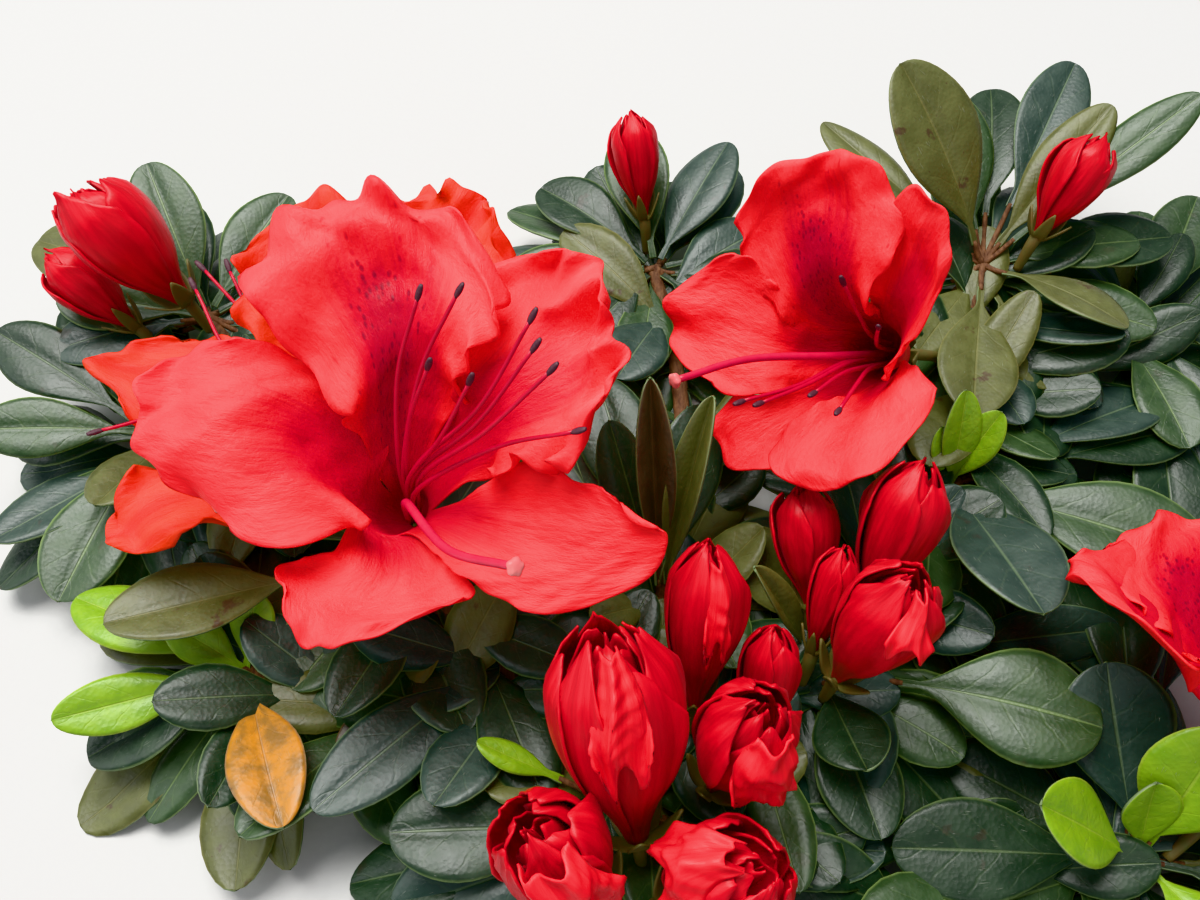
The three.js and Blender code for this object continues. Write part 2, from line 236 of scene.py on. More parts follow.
def tube(line, radii, sides, relief=0.0):
    """A closed round limb on a line: its points, faces and a map of them around and along. The
    rings turn as little as they can from one point to the next."""
    ahead = unit(np.gradient(line, axis=0))
    upper = np.array((0.0, 0.0, 1.0)) if abs(ahead[0][2]) < 0.9 else np.array((0.0, 1.0, 0.0))
    uppers = []
    for way in ahead:
        upper = unit(upper - np.dot(upper, way) * way)
        uppers.append(upper)
    turns = round_turns(sides)[..., None]
    across = np.cos(turns) * np.cross(ahead, uppers)[:, None] + np.sin(turns) * np.array(uppers)[:, None]
    points = line[:, None] + across * (radii[:, None] * (1 + relief))[..., None]
    ring = np.arange(sides)
    after = np.roll(ring, -1)
    last = (len(line) - 1) * sides
    middle = np.full(sides, len(line) * sides)
    caps = np.vstack((np.stack((middle, ring, after), axis=1),
                      np.stack((middle + 1, last + after, last + ring), axis=1)))
    spots = np.stack(np.meshgrid(turns / (2 * math.pi), np.linspace(0, 1, len(line))), axis=-1)
    return {
        "points": np.vstack((points.reshape(-1, 3), line[:1], line[-1:])),
        "faces": grid_faces(len(line), sides, closed=True)[:, ::-1], "caps": caps,
        "map": np.vstack((spots.reshape(-1, 2), (0.5, 0), (0.5, 1))),
    }


def piece(name, parts, materials, replaced=()):
    """Joins parts into one object that rides on the branch. A part has points, faces, a map, and
    may have caps of three corners or a look, the number of its material, for each face."""
    faces, looks = [], []
    start = 0
    for part in parts:
        caps = part.get("caps", np.empty((0, 3), int))
        faces.extend((part["faces"] + start).tolist())
        faces.extend((caps + start).tolist())
        looks.append(part.get("look", np.zeros(len(part["faces"]) + len(caps), int)))
        start += len(part["points"])
    mesh = bpy.data.meshes.new(name)
    mesh.from_pydata(place(np.vstack([part["points"] for part in parts])), [], faces)
    spots = np.vstack([part["map"] for part in parts])
    corners = np.empty(len(mesh.loops), np.int32)
    mesh.loops.foreach_get("vertex_index", corners)
    for map_name in ("pattern", "OFBake"):
        layer = mesh.uv_layers.new(name=map_name)
        layer.data.foreach_set("uv", spots[corners].astype(np.float32).ravel())
    mesh.polygons.foreach_set("material_index", np.concatenate(looks).astype(np.int32))
    mesh.shade_smooth()
    for material in materials:
        mesh.materials.append(material)
    made = put(name, mesh)
    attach(made, "root")
    if replaced:
        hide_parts(*replaced)
    return made


def between(tree, value, low, high, out_low=0.0, out_high=1.0):
    """A value eased from one range into another."""
    values = {"Value": value, "From Min": low, "From Max": high, "To Min": out_low, "To Max": out_high}
    return add(tree, "ShaderNodeMapRange", "Result", values, interpolation_type="SMOOTHSTEP")


def new_group(name, colours, values=()):
    """Starts a node group with named inputs, for an effect that several materials use."""
    group = bpy.data.node_groups.new(name, "ShaderNodeTree")
    for kind, sockets in (("NodeSocketColor", colours), ("NodeSocketFloat", values)):
        for socket in sockets:
            group.interface.new_socket(socket, in_out="INPUT", socket_type=kind)
    return group, group.nodes.new("NodeGroupInput").outputs


def end_group(group, **outputs):
    """Gives a group its outputs, which all change over the surface."""
    for name in outputs:
        kind = "NodeSocketColor" if name == "Colour" else "NodeSocketFloat"
        group.interface.new_socket(name, in_out="OUTPUT", socket_type=kind)
    leave = group.nodes.new("NodeGroupOutput")
    for name, socket in outputs.items():
        group.links.new(socket, leave.inputs[name])
    return group


def group_material(name, group, values, relief, sockets):
    """Places a group in a material of its own. The relief is the strength and depth of its bump,
    and the depth is in metres."""
    material, tree, shader = new_material(name, sockets)
    placed = tree.nodes.new("ShaderNodeGroup")
    placed.node_tree = group
    for socket, value in values.items():
        placed.inputs[socket].default_value = (*value, 1) if isinstance(value, tuple) else value
    strength, depth = relief
    heights = {"Height": placed.outputs["Relief"], "Strength": strength, "Distance": depth}
    tree.links.new(add(tree, "ShaderNodeBump", "Normal", heights), shader.inputs["Normal"])
    tree.links.new(placed.outputs["Colour"], shader.inputs["Base Color"])
    if "Roughness" in placed.outputs:
        tree.links.new(placed.outputs["Roughness"], shader.inputs["Roughness"])
    return material


def bark_group():
    """Fine cracks that run along the wood."""
    group, given = new_group("bark", ("Dark", "Light"))
    cracks = noise(group, object_spot(group), (1400, 420, 1400), 6.0, 0.65)
    colour = blend(group, between(group, cracks, 0.32, 0.72), given["Dark"], given["Light"])
    return end_group(group, Colour=colour, Relief=cracks)


bark = bark_group()
brown_bark, young_bark = (
    group_material(name, bark, {"Dark": dark, "Light": light}, BARK_RELIEF, {"Roughness": 0.82})
    for name, (dark, light) in BARK_TONES.items())


def bark_relief(rng, line, sides, depth):
    """Low ridges that wander along a limb, and a leaf scar every few millimetres."""
    turns = round_turns(sides)
    along = np.linspace(0, len(line) * BARK_STEP, len(line))[:, None]
    relief = np.zeros((len(line), sides))
    for k in range(FEWEST_RIDGES, MOST_RIDGES + 1):
        wander = rng.uniform(0.05, 0.35) * np.sin(along * rng.uniform(0.08, 0.3) + rng.uniform(0, 6))
        relief += depth / k * 2 * np.sin(k * turns + wander * k + rng.uniform(0, 6))
    scar = rng.uniform(*FIRST_SCAR)
    while scar < along[-1, 0] - BARE_END:
        away = np.sin((turns - rng.uniform(0, 2 * math.pi)) / 2) * 2
        near = np.exp(-((along - scar) / SCAR_LENGTH) ** 2) * np.exp(-(away / SCAR_WIDTH) ** 2)
        relief += SCAR_HEIGHT * near
        scar += rng.uniform(*SCAR_GAP)
    return relief


def woody_limb(route, start_radius, end_radius, sides, depth, seed):
    rng = np.random.default_rng(seed)
    line = smooth_line(route, max(6, round(lengths_along(route)[-1] / BARK_STEP)))
    line[3:-3] += rng.normal(0, LIMB_WANDER, (len(line) - 6, 3))
    radii = np.linspace(start_radius, end_radius, len(line))
    return tube(line, radii, sides, bark_relief(rng, line, sides, depth))


stem = woody_limb(STEM_ROUTE, STEM_RADIUS, FORK_RADIUS, STEM_SIDES, STEM_RIDGE, STEM_SEED)
piece("stem", [stem], [brown_bark], ["main_stem"])
for order, (bough, route) in enumerate(BOUGHS.items()):
    limb = woody_limb(route, BOUGH_RADIUS, TWIG_RADIUS, BOUGH_SIDES, BOUGH_RIDGE, BOUGH_SEED + order)
    piece(bough + "_bark", [limb], [young_bark], [bough])


# The blooms
# Five thin satin petals part from one short tube. Each is narrow in the throat, broad and ruffled
# above it, and crimson low down. The topmost carries a dark spotted blotch.
FOOT_RADIUS, TUBE_RADIUS, THROAT_RADIUS = 0.3, 3.2, 4.6
FOOT_HEIGHT, TUBE_HEIGHT, THROAT_HEIGHT = 1, 6, 12
TUBE_RINGS = ((FOOT_RADIUS, FOOT_HEIGHT), (TUBE_RADIUS, TUBE_HEIGHT), (THROAT_RADIUS, THROAT_HEIGHT))
PETAL_STEP = -72
RISE_POWER = 1.7
PETAL_THICK = 0.3
TUBE_MAP = 1 / 3
RIM_DROP, CUP_POWER = 0.10, 2.3
FINE_GRID, FAR_GRID = (74, 67), (46, 41)
BLOOM_SEED, PETAL_SEED = 100, 5
PLAIN, FLUSHED, BLOTCHED, TINGED = 0, 1, 2, 3

# Ripples of a petal: how many add up, their shortest and their longest wave
SWELLS, RUFFLES, FRILLS, CREASES, MARGIN_WAVES = (3, 16, 34), (4, 7, 15), (4, 3.2, 6), (6, 3, 9), (4, 4, 9)
SWELL_HEIGHT, RUFFLE_HEIGHT, FRILL_HEIGHT, CREASE_HEIGHT = 0.9, 1.25, 0.5, 0.16
MARGIN_REACH = 0.55
KEEL_WIDTH = 1.3

# Rows of a regular petal: shares of its reach and half width, and how far its margins stand back
REGULAR_ROWS = ((0.16, 0.36, 0.0), (0.46, 0.92, 4.0), (0.74, 1.0, 3.0), (1.0, 0.66, 3.5))

CORAL = (0.95, 0.042, 0.047), (0.86, 0.023, 0.029)
# The bloom behind the others is orange, and its deep tone is painted darker as painted shade, for it lies in
# the shadow of the blooms in front
SHADED_ORANGE = (0.84, 0.052, 0.010), (0.66, 0.022, 0.006)
VEIN_RED, CRIMSON, THROAT_RED = (0.60, 0.01, 0.02), (0.50, 0.002, 0.018), (0.34, 0.002, 0.010)
BLOTCH_RED, DOT_RED = (0.38, 0.001, 0.018), (0.17, 0.001, 0.016)
PETAL_RELIEF = (0.4, 0.0005)
PETAL_SATIN = {
    "Specular IOR Level": 0.25, "Sheen Weight": 0.04, "Sheen Roughness": 0.4,
    "Sheen Tint": (1.0, 0.35, 0.35, 1), "Subsurface Weight": 0.15, "Subsurface Radius": (1.0, 0.15, 0.1),
    "Subsurface Scale": 0.001,
}


def petal(rows, look=PLAIN, **shape):
    """A petal by its claw, shoulder, broadest row and rim. A row is its left edge, middle and right
    edge, each [turn, reach, height] from the bloom's axis, seen with the petal turned up."""
    turn, reach, height = rows[-1][1]
    usual = {"ruffle": 1.0, "frill": 1.0, "keel": 0.4}
    return {"rows": rows, "turn": turn, "reach": reach, "height": height, "look": look, **usual, **shape}


def even_rows(turn, reach, height, half):
    """The four rows of a regular petal, from where its tip is and its half width."""
    rows = []
    for share, wide, back in REGULAR_ROWS:
        middle = THROAT_RADIUS + (reach - THROAT_RADIUS) * share
        up = THROAT_HEIGHT + (height - THROAT_HEIGHT) * (1 - (1 - share) ** RISE_POWER)
        away = math.degrees(math.atan2(half * wide, middle - back))
        edge = math.hypot(half * wide, middle - back)
        rows.append(((turn + away, edge, up), (turn, middle, up), (turn - away, edge, up)))
    return rows


def bloom_form(start, base, axis, first_turn, grid, petals):
    """A bloom from where its stalk starts, the foot of its tube and the way it looks. The first
    turn is where its tube meets the topmost petal."""
    axis = unit(axis)
    top = unit(np.array((0.0, 1.0, 0.0)) - axis[1] * axis)
    return {"start": start, "base": np.array(base, float), "right": np.cross(top, axis), "top": top,
            "axis": axis, "first_turn": first_turn, "grid": grid, "petals": petals}


BLOOMS = {
    "bloom_left": bloom_form((-32, -5, 15), (-27, -6, 24), (-0.05, -0.18, 0.98), 90, FINE_GRID, [
        petal([((118, 7.5, 18.5), (84, 9, 19), (48, 10, 19)),
               ((116, 9.5, 25.5), (79, 16, 28), (43, 15, 26)),
               ((127, 24, 32.5), (84, 25, 33), (46, 24, 32)),
               ((121, 34.5, 33), (88, 34.5, 34), (59, 30.5, 33))],
              BLOTCHED, ruffle=1.1, frill=1.6, keel=0.6),
        petal([((62, 10, 18), (30, 12, 19), (6, 11, 18)),
               ((62, 19, 23.5), (28, 22, 26), (2, 19, 25)),
               ((63, 29.5, 29.5), (29, 31, 31), (-3, 25, 28)),
               ((56, 36.5, 35), (30, 34.5, 33), (4, 30, 30))], FLUSHED, ruffle=2.1, frill=2.4),
        petal([((-6, 10, 16.5), (-24, 8, 16), (-60, 6.5, 15)),
               ((6, 18, 22), (-22, 20, 20), (-50, 15, 18)),
               ((-5, 27, 25), (-20, 30, 23), (-42, 25, 19)),
               ((-12, 34, 26), (-16, 38, 24), (-31, 34, 21))], ruffle=0.5, frill=0.4),
        petal([((-52, 6.5, 14), (-98, 6, 13.5), (-156, 6, 14)),
               ((-50, 14, 16), (-92, 11, 15.5), (-131, 11, 17)),
               ((-52, 18, 19), (-104, 16, 19), (-142, 16, 19)),
               ((-80, 17.5, 21), (-106, 21, 22), (-118, 21, 22))],
              ruffle=0.9, frill=0.9, keel=1.2),
        petal([((-142, 5.5, 14), (146, 6, 15.5), (96, 7.5, 16.5)),
               ((-108, 5.5, 21), (155, 13, 23), (112, 16, 22.5)),
               ((-152, 17, 22.5), (164, 20, 27.5), (133, 24, 27.5)),
               ((-178, 27, 24), (166, 31, 28), (147, 31.5, 30.5))], TINGED, ruffle=1.3, frill=1.0),
    ]),
    "bloom_behind": bloom_form((-34, -2, 13), (-38, 9, 12), (-0.12, 0.06, 0.99), 90, FAR_GRID, [
        petal(even_rows(95, 31, 32, 12), FLUSHED, ruffle=1.8, frill=2.0),
        petal(even_rows(48, 36, 32, 16), ruffle=1.8, frill=2.0),
        petal(even_rows(-50, 13, 15, 8)),
        petal(even_rows(-147, 36, 18, 9), ruffle=1.4, frill=1.4),
        petal(even_rows(168, 36, 24, 9), ruffle=1.2, frill=1.2),
    ]),
    "bloom_right": bloom_form((60, 30, 13), (48, 24, 25), (-0.57, -0.45, 0.685), 80, FINE_GRID, [
        petal([((130, 7, 17), (95, 6.5, 18), (42, 6, 17)),
               ((133, 10, 24.5), (79, 11, 26), (30, 8.5, 24.5)),
               ((113, 19.5, 30), (72, 18, 30), (33, 15.5, 30)),
               ((99, 25.5, 31.5), (70, 26, 31), (45, 25.5, 31.5))], BLOTCHED, ruffle=1.1),
        petal([((56, 6, 16), (10, 6, 15.5), (-35, 6, 16)),
               ((46, 9, 23), (5, 9.5, 22.5), (-60, 6, 21)),
               ((44, 18, 29), (18, 16.5, 27), (-20, 9, 24)),
               ((42, 26, 33), (21, 22, 30), (1, 15, 27))], FLUSHED, ruffle=0.6, frill=0.7),
        petal([((-40, 6, 16), (-75, 6, 17), (-110, 6, 17)),
               ((-32, 9, 21), (-98, 10, 24.5), (-134, 9, 26)),
               ((-46, 15, 25), (-103, 15, 29.5), (-139, 16, 31)),
               ((-71, 18, 28), (-100, 19, 31), (-128, 20, 32))], ruffle=0.7, frill=0.6),
        petal([((-120, 6.5, 16), (-150, 7, 16), (-172, 7, 17)),
               ((-140, 13, 23), (-157, 12, 24), (-170, 11, 26)),
               ((-132, 18, 27), (-160, 18, 28), (-174, 15, 29)),
               ((-138, 21, 29), (-157, 22, 30), (-177, 20, 30))], ruffle=0.7, frill=0.8),
        petal([((-178, 6, 16), (157, 7, 16.5), (128, 7, 17)),
               ((-165, 10, 25), (151, 10, 25), (118, 11, 25)),
               ((-178, 16, 29), (145, 18, 30), (112, 18, 29)),
               ((166, 22, 31), (146, 25, 32), (122, 23, 31))], ruffle=0.9),
    ]),
    "bloom_far_right": bloom_form((78, -50, 10), (86, -42, 14), (0.1, 0.6, 0.79), 100, FAR_GRID, [
        petal(even_rows(100, 24, 30, 14), BLOTCHED),
        petal(even_rows(28, 25, 30, 13), FLUSHED),
        petal(even_rows(-44, 18, 27, 11)),
        petal(even_rows(-122, 17, 27, 10)),
        petal(even_rows(157, 27, 29, 12), FLUSHED),
    ]),
}


def sheet_lines(grid, low=-1):
    """Where a grid's columns lie across a sheet and its rows along it."""
    return np.linspace(low, 1, grid[1])[None, :], np.linspace(0, 1, grid[0])[:, None]


def sheet_spots(t, along):
    """The map of a sheet, from nought to one across and along it."""
    return np.stack(np.broadcast_arrays(t * 0.5 + 0.5, along), axis=-1)


def normals_of(points):
    return unit(np.cross(np.gradient(points, axis=0), np.gradient(points, axis=1)))


def shell(points, thick, spots, look=0, under_spots=None, under_look=None):
    """A closed thin sheet from a grid of points on its upper face."""
    rows, columns = points.shape[:2]
    count = rows * columns
    upper_faces = grid_faces(rows, columns)
    lower_faces = grid_faces(rows, columns, start=count)[:, ::-1]
    rim = np.concatenate((np.arange(columns), np.arange(1, rows) * columns + columns - 1,
                          np.arange(columns - 2, -1, -1) + (rows - 1) * columns,
                          np.arange(rows - 2, 0, -1) * columns))
    after = np.roll(rim, -1)
    faces = np.vstack((upper_faces, lower_faces, np.stack((rim, rim + count, after + count, after), axis=1)))
    looks = np.full(len(faces), look if under_look is None else under_look)
    looks[:len(upper_faces)] = look
    under = points + normals_of(points) * thick
    under_spots = spots if under_spots is None else under_spots
    return {"points": np.vstack((points.reshape(-1, 3), under.reshape(-1, 3))), "faces": faces,
            "map": np.vstack((spots.reshape(-1, 2), under_spots.reshape(-1, 2))), "look": looks}


def ease(value, low, high):
    """Zero below low, one above high, and smooth between them."""
    share = np.clip((value - low) / (high - low), 0, 1)
    return share * share * (3 - 2 * share)


def ripples(rng, x, y, count, short, long, sharp=False):
    """Random ripples over a sheet, by their shortest and longest wave in millimetres."""
    total = np.zeros(np.broadcast(x, y).shape)
    for _ in range(count):
        turn = rng.uniform(0, math.pi)
        phase = (x * math.cos(turn) + y * math.sin(turn)) / rng.uniform(short, long) + rng.uniform(0, 1)
        total += 1 - 4 * np.abs(phase % 1 - 0.5) if sharp else np.sin(2 * math.pi * phase)
    return total / math.sqrt(count)


def in_bloom(bloom, turn, reach, height):
    turn = math.radians(turn)
    out = math.cos(turn) * bloom["right"] + math.sin(turn) * bloom["top"]
    return bloom["base"] + reach * out + height * bloom["axis"]


def petal_sheet(bloom, order, seed):
    """A petal from the foot of its tube to its rim, ruffled towards its margin."""
    shape = bloom["petals"][order]
    rng = np.random.default_rng(seed)
    t, q = sheet_lines(bloom["grid"])
    edge = np.abs(t)

    # The tube's own rows, then the petal's
    first = bloom["first_turn"] + PETAL_STEP * order
    turns = (first - PETAL_STEP / 2, first, first + PETAL_STEP / 2)
    rows = [[(turn, *ring) for turn in turns] for ring in TUBE_RINGS] + shape["rows"]
    places = np.array([[in_bloom(bloom, *spot) for spot in row] for row in rows])
    knots = np.linspace(0, len(places) - 1, 300)
    along = lengths_along(curve_at(places[:, 1], knots))
    throat = np.interp(len(TUBE_RINGS) - 1, knots, along)
    reached = q * (1 - RIM_DROP * edge ** 5) * along[-1]
    spots = np.interp(reached, along, knots)
    left, middle, right = (curve_at(places[:, k], spots) for k in range(3))
    across = t[..., None]
    cup = np.abs(across) ** CUP_POWER
    points = middle + across * (left - right) / 2 + cup * ((left + right) / 2 - middle)

    # Distances over the sheet in millimetres, and how near each point is to the margin
    blade = np.clip((reached - throat) / (along[-1] - throat), 0, 1)
    x = t * np.linalg.norm(left - right, axis=-1) / 2
    y = blade * (along[-1] - throat)
    margin = np.maximum(edge ** 4 * ease(blade, 0.15, 0.45), ease(blade, 0.55, 1.0) ** 2)
    ruffle, frill = shape["ruffle"], shape["frill"]

    lift = SWELL_HEIGHT * ruffle * ease(blade, 0.15, 0.7) * ripples(rng, x, y, *SWELLS)
    lift += RUFFLE_HEIGHT * ruffle * margin * ripples(rng, x, y, *RUFFLES)
    lift += FRILL_HEIGHT * frill * margin ** 2 * ripples(rng, x, y, *FRILLS)
    lift += CREASE_HEIGHT * ease(blade, 0.05, 0.3) * ripples(rng, x, y, *CREASES, sharp=True)
    lift -= shape["keel"] * np.exp(-(x / KEEL_WIDTH) ** 2) * ease(blade, 0.0, 0.2) * (1 - blade)
    spread = MARGIN_REACH * frill * margin ** 2 * ripples(rng, x, y, *MARGIN_WAVES)
    outward = points - points[int(len(q) * 0.7), t.size // 2]
    outward = outward / np.maximum(np.linalg.norm(outward, axis=-1, keepdims=True), 1)
    points = points + lift[..., None] * normals_of(points) + spread[..., None] * outward

    in_tube = TUBE_MAP * reached / throat
    spots = sheet_spots(t, np.where(reached < throat, in_tube, TUBE_MAP + (1 - TUBE_MAP) * blade))
    return shell(points[:, ::-1], PETAL_THICK, spots[:, ::-1], shape["look"])


def maths(tree, operation, first, second=0.0, third=0.0):
    values = {0: first, 1: second, 2: third}
    return add(tree, "ShaderNodeMath", "Value", values, operation=operation)


def away_from(tree, value, middle):
    return maths(tree, "ABSOLUTE", maths(tree, "SUBTRACT", value, middle))


def own_map(tree):
    """A piece's own map, and the places across and along it."""
    spot = add(tree, "ShaderNodeUVMap", "UV", {}, uv_map="pattern")
    return spot, *(add(tree, "ShaderNodeSeparateXYZ", part, {"Vector": spot}) for part in "XY")


def petal_group():
    """Satin red, crimson towards the throat and down the middle as far as its reach, with fine
    fanning veins and, where Blotch is one, a patch of dark spots."""
    group, given = new_group("petal", ("Light", "Deep"), ("Reach", "Blotch"))
    spot, across, along = own_map(group)
    veins = noise(group, spot, (46, 1.7, 1), 3.0)
    mottle = noise(group, spot, (5, 4, 1), 3.0)
    colour = blend(group, between(group, mottle, 0.3, 0.7), given["Deep"], given["Light"])
    colour = blend(group, between(group, veins, 0.52, 0.72, 0, 0.10), colour, VEIN_RED)
    inside = between(group, away_from(group, across, 0.5), 0.16, 0.54, given["Reach"], 0)
    fade = maths(group, "MULTIPLY_ADD", veins, 0.2, maths(group, "SUBTRACT", along, inside))
    colour = blend(group, between(group, fade, 0.40, 0.64, 0.95, 0.0), colour, CRIMSON)
    colour = blend(group, between(group, along, 0.14, 0.30, 0.6, 0.0), colour, THROAT_RED)

    # The blotch and its dots
    field = maths(group, "MULTIPLY", between(group, away_from(group, across, 0.56), 0.04, 0.26, 1, 0),
                  between(group, along, 0.66, 0.92, 1, 0))
    rough = maths(group, "SUBTRACT", noise(group, spot, (16, 7, 1), 5.0), 0.5)
    spread = maths(group, "MULTIPLY_ADD", rough, 1.1, field)
    stain = maths(group, "MULTIPLY", between(group, spread, 0.14, 0.66, 0, 0.92), given["Blotch"])
    colour = blend(group, stain, colour, BLOTCH_RED)
    dotted = add(group, "ShaderNodeMapping", "Vector", {"Vector": spot, "Scale": (33, 38, 1)})
    dots = add(group, "ShaderNodeTexVoronoi", "Distance", {"Vector": dotted, "Scale": 1.0})
    dots = maths(group, "MULTIPLY", between(group, dots, 0.14, 0.42, 0.75, 0),
                 between(group, spread, 0.04, 0.3, 0, given["Blotch"]))
    colour = blend(group, dots, colour, DOT_RED)

    relief = maths(group, "MULTIPLY", noise(group, spot, (9, 9, 1)), 2.6)
    for scale, share in (((24, 30, 1), 1.2), ((80, 60, 1), 0.5), ((150, 190, 1), 0.3), ((110, 13, 1), 0.25)):
        relief = maths(group, "MULTIPLY_ADD", noise(group, spot, scale, 3.0, 0.6), share, relief)
    roughness = between(group, mottle, 0.3, 0.7, 0.44, 0.56)
    return end_group(group, Colour=colour, Roughness=roughness, Relief=relief)


petal_paint = petal_group()


def petal_finish(name, colours, reach, blotch=0):
    values = {"Light": colours[0], "Deep": colours[1], "Reach": reach, "Blotch": blotch}
    return group_material(name, petal_paint, values, PETAL_RELIEF, PETAL_SATIN)


coral_petals = [petal_finish("plain_petal", CORAL, 0.16), petal_finish("flushed_petal", CORAL, 0.44),
                petal_finish("blotched_petal", CORAL, 0.46, 1), petal_finish("tinged_petal", CORAL, 0.27)]
# Orange petals with painted shade, for the bloom that lies behind the others
shaded_orange_petals = [petal_finish("shaded_orange_petal", SHADED_ORANGE, 0.03),
                 petal_finish("shaded_orange_flushed_petal", SHADED_ORANGE, 0.2)]

for order, (name, bloom) in enumerate(BLOOMS.items()):
    finish = shaded_orange_petals if name == "bloom_behind" else coral_petals
    seed = BLOOM_SEED * order + PETAL_SEED
    sheets = [petal_sheet(bloom, k, seed + k) for k in range(len(bloom["petals"]))]
    piece(name + "_petals", sheets, finish, [name])


# Stamens, pistil, calyx and stalk of each bloom
# Slender crimson filaments rise from the tube and curve up to dark anthers. The pistil is thicker
# and longer, with a pale pad of five lobes. A tip is [turn, reach, height] from the bloom's axis.
STAMENS = {
    "bloom_left": [(65, 18, 40), (51, 20, 42), (43, 12, 38), (24, 15, 38), (27, 24, 44), (21, 23, 42),
                   (11, 24, 44), (-2, 26, 40)],
    "bloom_behind": [(-168, 31, 26), (139, 28, 27), (133, 29, 28), (127, 27, 27), (121, 28, 26)],
    "bloom_right": [(-156, 10, 40), (-147, 9, 38), (-97, 6, 36), (-84, 9, 34), (-2, 8, 30), (52, 9, 30)],
    "bloom_far_right": [(80, 8, 38), (20, 9, 36), (150, 10, 36), (-60, 8, 36), (-140, 9, 34)],
}
PISTILS = {"bloom_left": (-40, 26, 42), "bloom_behind": (-120, 22, 24), "bloom_right": (175, 16, 44),
           "bloom_far_right": (120, 9, 42)}
FILAMENT_RADIUS, PISTIL_RADIUS, STIGMA_RADIUS = 0.32, 0.55, 1.05
FILAMENT_RINGS, PISTIL_RINGS, ANTHER_RINGS, STALK_RINGS = 26, 34, 9, 16
ANTHER_LENGTH, ANTHER_RADIUS = 2.2, 0.38
STAMEN_START, STAMEN_SEED = 6, 700
FILAMENT_START, FILAMENT_BOW = (0.8, 1.8), (-14, 14)
PISTIL_START, PISTIL_BOW = 0.4, 8
SEPAL_ROUTE = ((1.2, 0), (3.0, 1.2), (4.0, 4.2), (4.6, 6.8))
SEPALS, SEPAL_RINGS, SEPAL_HALF = 5, 9, 1.3
STALK_RADII, STALK_BEND = (0.8, 1.0), (0.8, 0, 1)
SCALE_COLUMNS, SCALE_THICK = 5, 0.3
FILAMENT_SIDES, ANTHER_SIDES, PISTIL_SIDES, PAD_SIDES, STALK_SIDES = 8, 12, 12, 25, 10
MOTTLE_SHARE, MOTTLE_SCALE, MOTTLE_RELIEF = 0.7, 600.0, (0.3, 0.0002)


def mottle_group():
    """One colour with a fine mottle of a second."""
    group, given = new_group("fine_mottle", ("First", "Second"), ("Scale",))
    mottle = noise(group, object_spot(group), given["Scale"], 4.0)
    return end_group(group, Colour=blend(group, mottle, given["First"], given["Second"]), Relief=mottle)


fine_mottle = mottle_group()


def plain_finish(name, first, roughness, second=None, scale=MOTTLE_SCALE):
    second = second or tuple(MOTTLE_SHARE * share for share in first)
    values = {"First": first, "Second": second, "Scale": scale}
    return group_material(name, fine_mottle, values, MOTTLE_RELIEF, {"Roughness": roughness})


filament_finish = plain_finish("filament", (0.56, 0.005, 0.035), 0.4)
anther_finish = plain_finish("anther", (0.035, 0.006, 0.02), 0.6, (0.12, 0.05, 0.06), 2500.0)
pistil_finish = plain_finish("pistil", (0.68, 0.02, 0.07), 0.35)
stigma_finish = plain_finish("stigma", (0.80, 0.12, 0.14), 0.3, (0.85, 0.28, 0.26))
stalk_finish = plain_finish("stalk", (0.10, 0.14, 0.05), 0.6, (0.16, 0.08, 0.03))


def arching_line(bloom, tip, start_reach, count, bow):
    """From low in the tube, out with the flare, then curving up to its tip."""
    turn, reach, height = tip
    rise = height - STAMEN_START
    spots = ((turn, start_reach, STAMEN_START),
             (turn, start_reach + 0.14 * reach, STAMEN_START + 0.38 * rise),
             (turn - bow, 0.62 * reach, STAMEN_START + 0.72 * rise), tip)
    return smooth_line([in_bloom(bloom, *spot) for spot in spots], count)


def anther(line, rng):
    """A dark two-lobed sac at the end of its filament, a little askew."""
    way = unit(line[-1] - line[-3] + rng.normal(0, 0.12, 3))
    ends = line[-1] + way * (np.linspace(-0.15, 0.95, ANTHER_RINGS) * ANTHER_LENGTH)[:, None]
    swell = np.sin(np.linspace(0.25, math.pi - 0.3, ANTHER_RINGS)) ** 0.5
    return tube(ends, ANTHER_RADIUS * swell, ANTHER_SIDES, 0.18 * np.cos(2 * round_turns(ANTHER_SIDES)))


def lobed_pad(centre, way):
    """The stigma: a round pad with five low lobes and a groove between them."""
    line = np.array([centre + way * d for d in (-0.5, -0.1, 0.35, 0.62, 0.7)])
    radii = np.array((0.55, 0.95, 1.0, 0.75, 0.35)) * STIGMA_RADIUS
    return tube(line, radii, PAD_SIDES, 0.10 * np.cos(5 * round_turns(PAD_SIDES)))


def green_scale(line, broad, half_width, foot, tip):
    """A small pointed blade on a line, broad as a stretch of a sine from foot to tip."""
    t, s = sheet_lines((len(line), SCALE_COLUMNS))
    half = half_width * np.sin(np.linspace(foot, math.pi - tip, len(line)))[:, None] ** 0.8
    points = line[:, None] + (half * t)[..., None] * np.broadcast_to(broad, line.shape)[:, None]
    return shell(points, SCALE_THICK, sheet_spots(t, s))


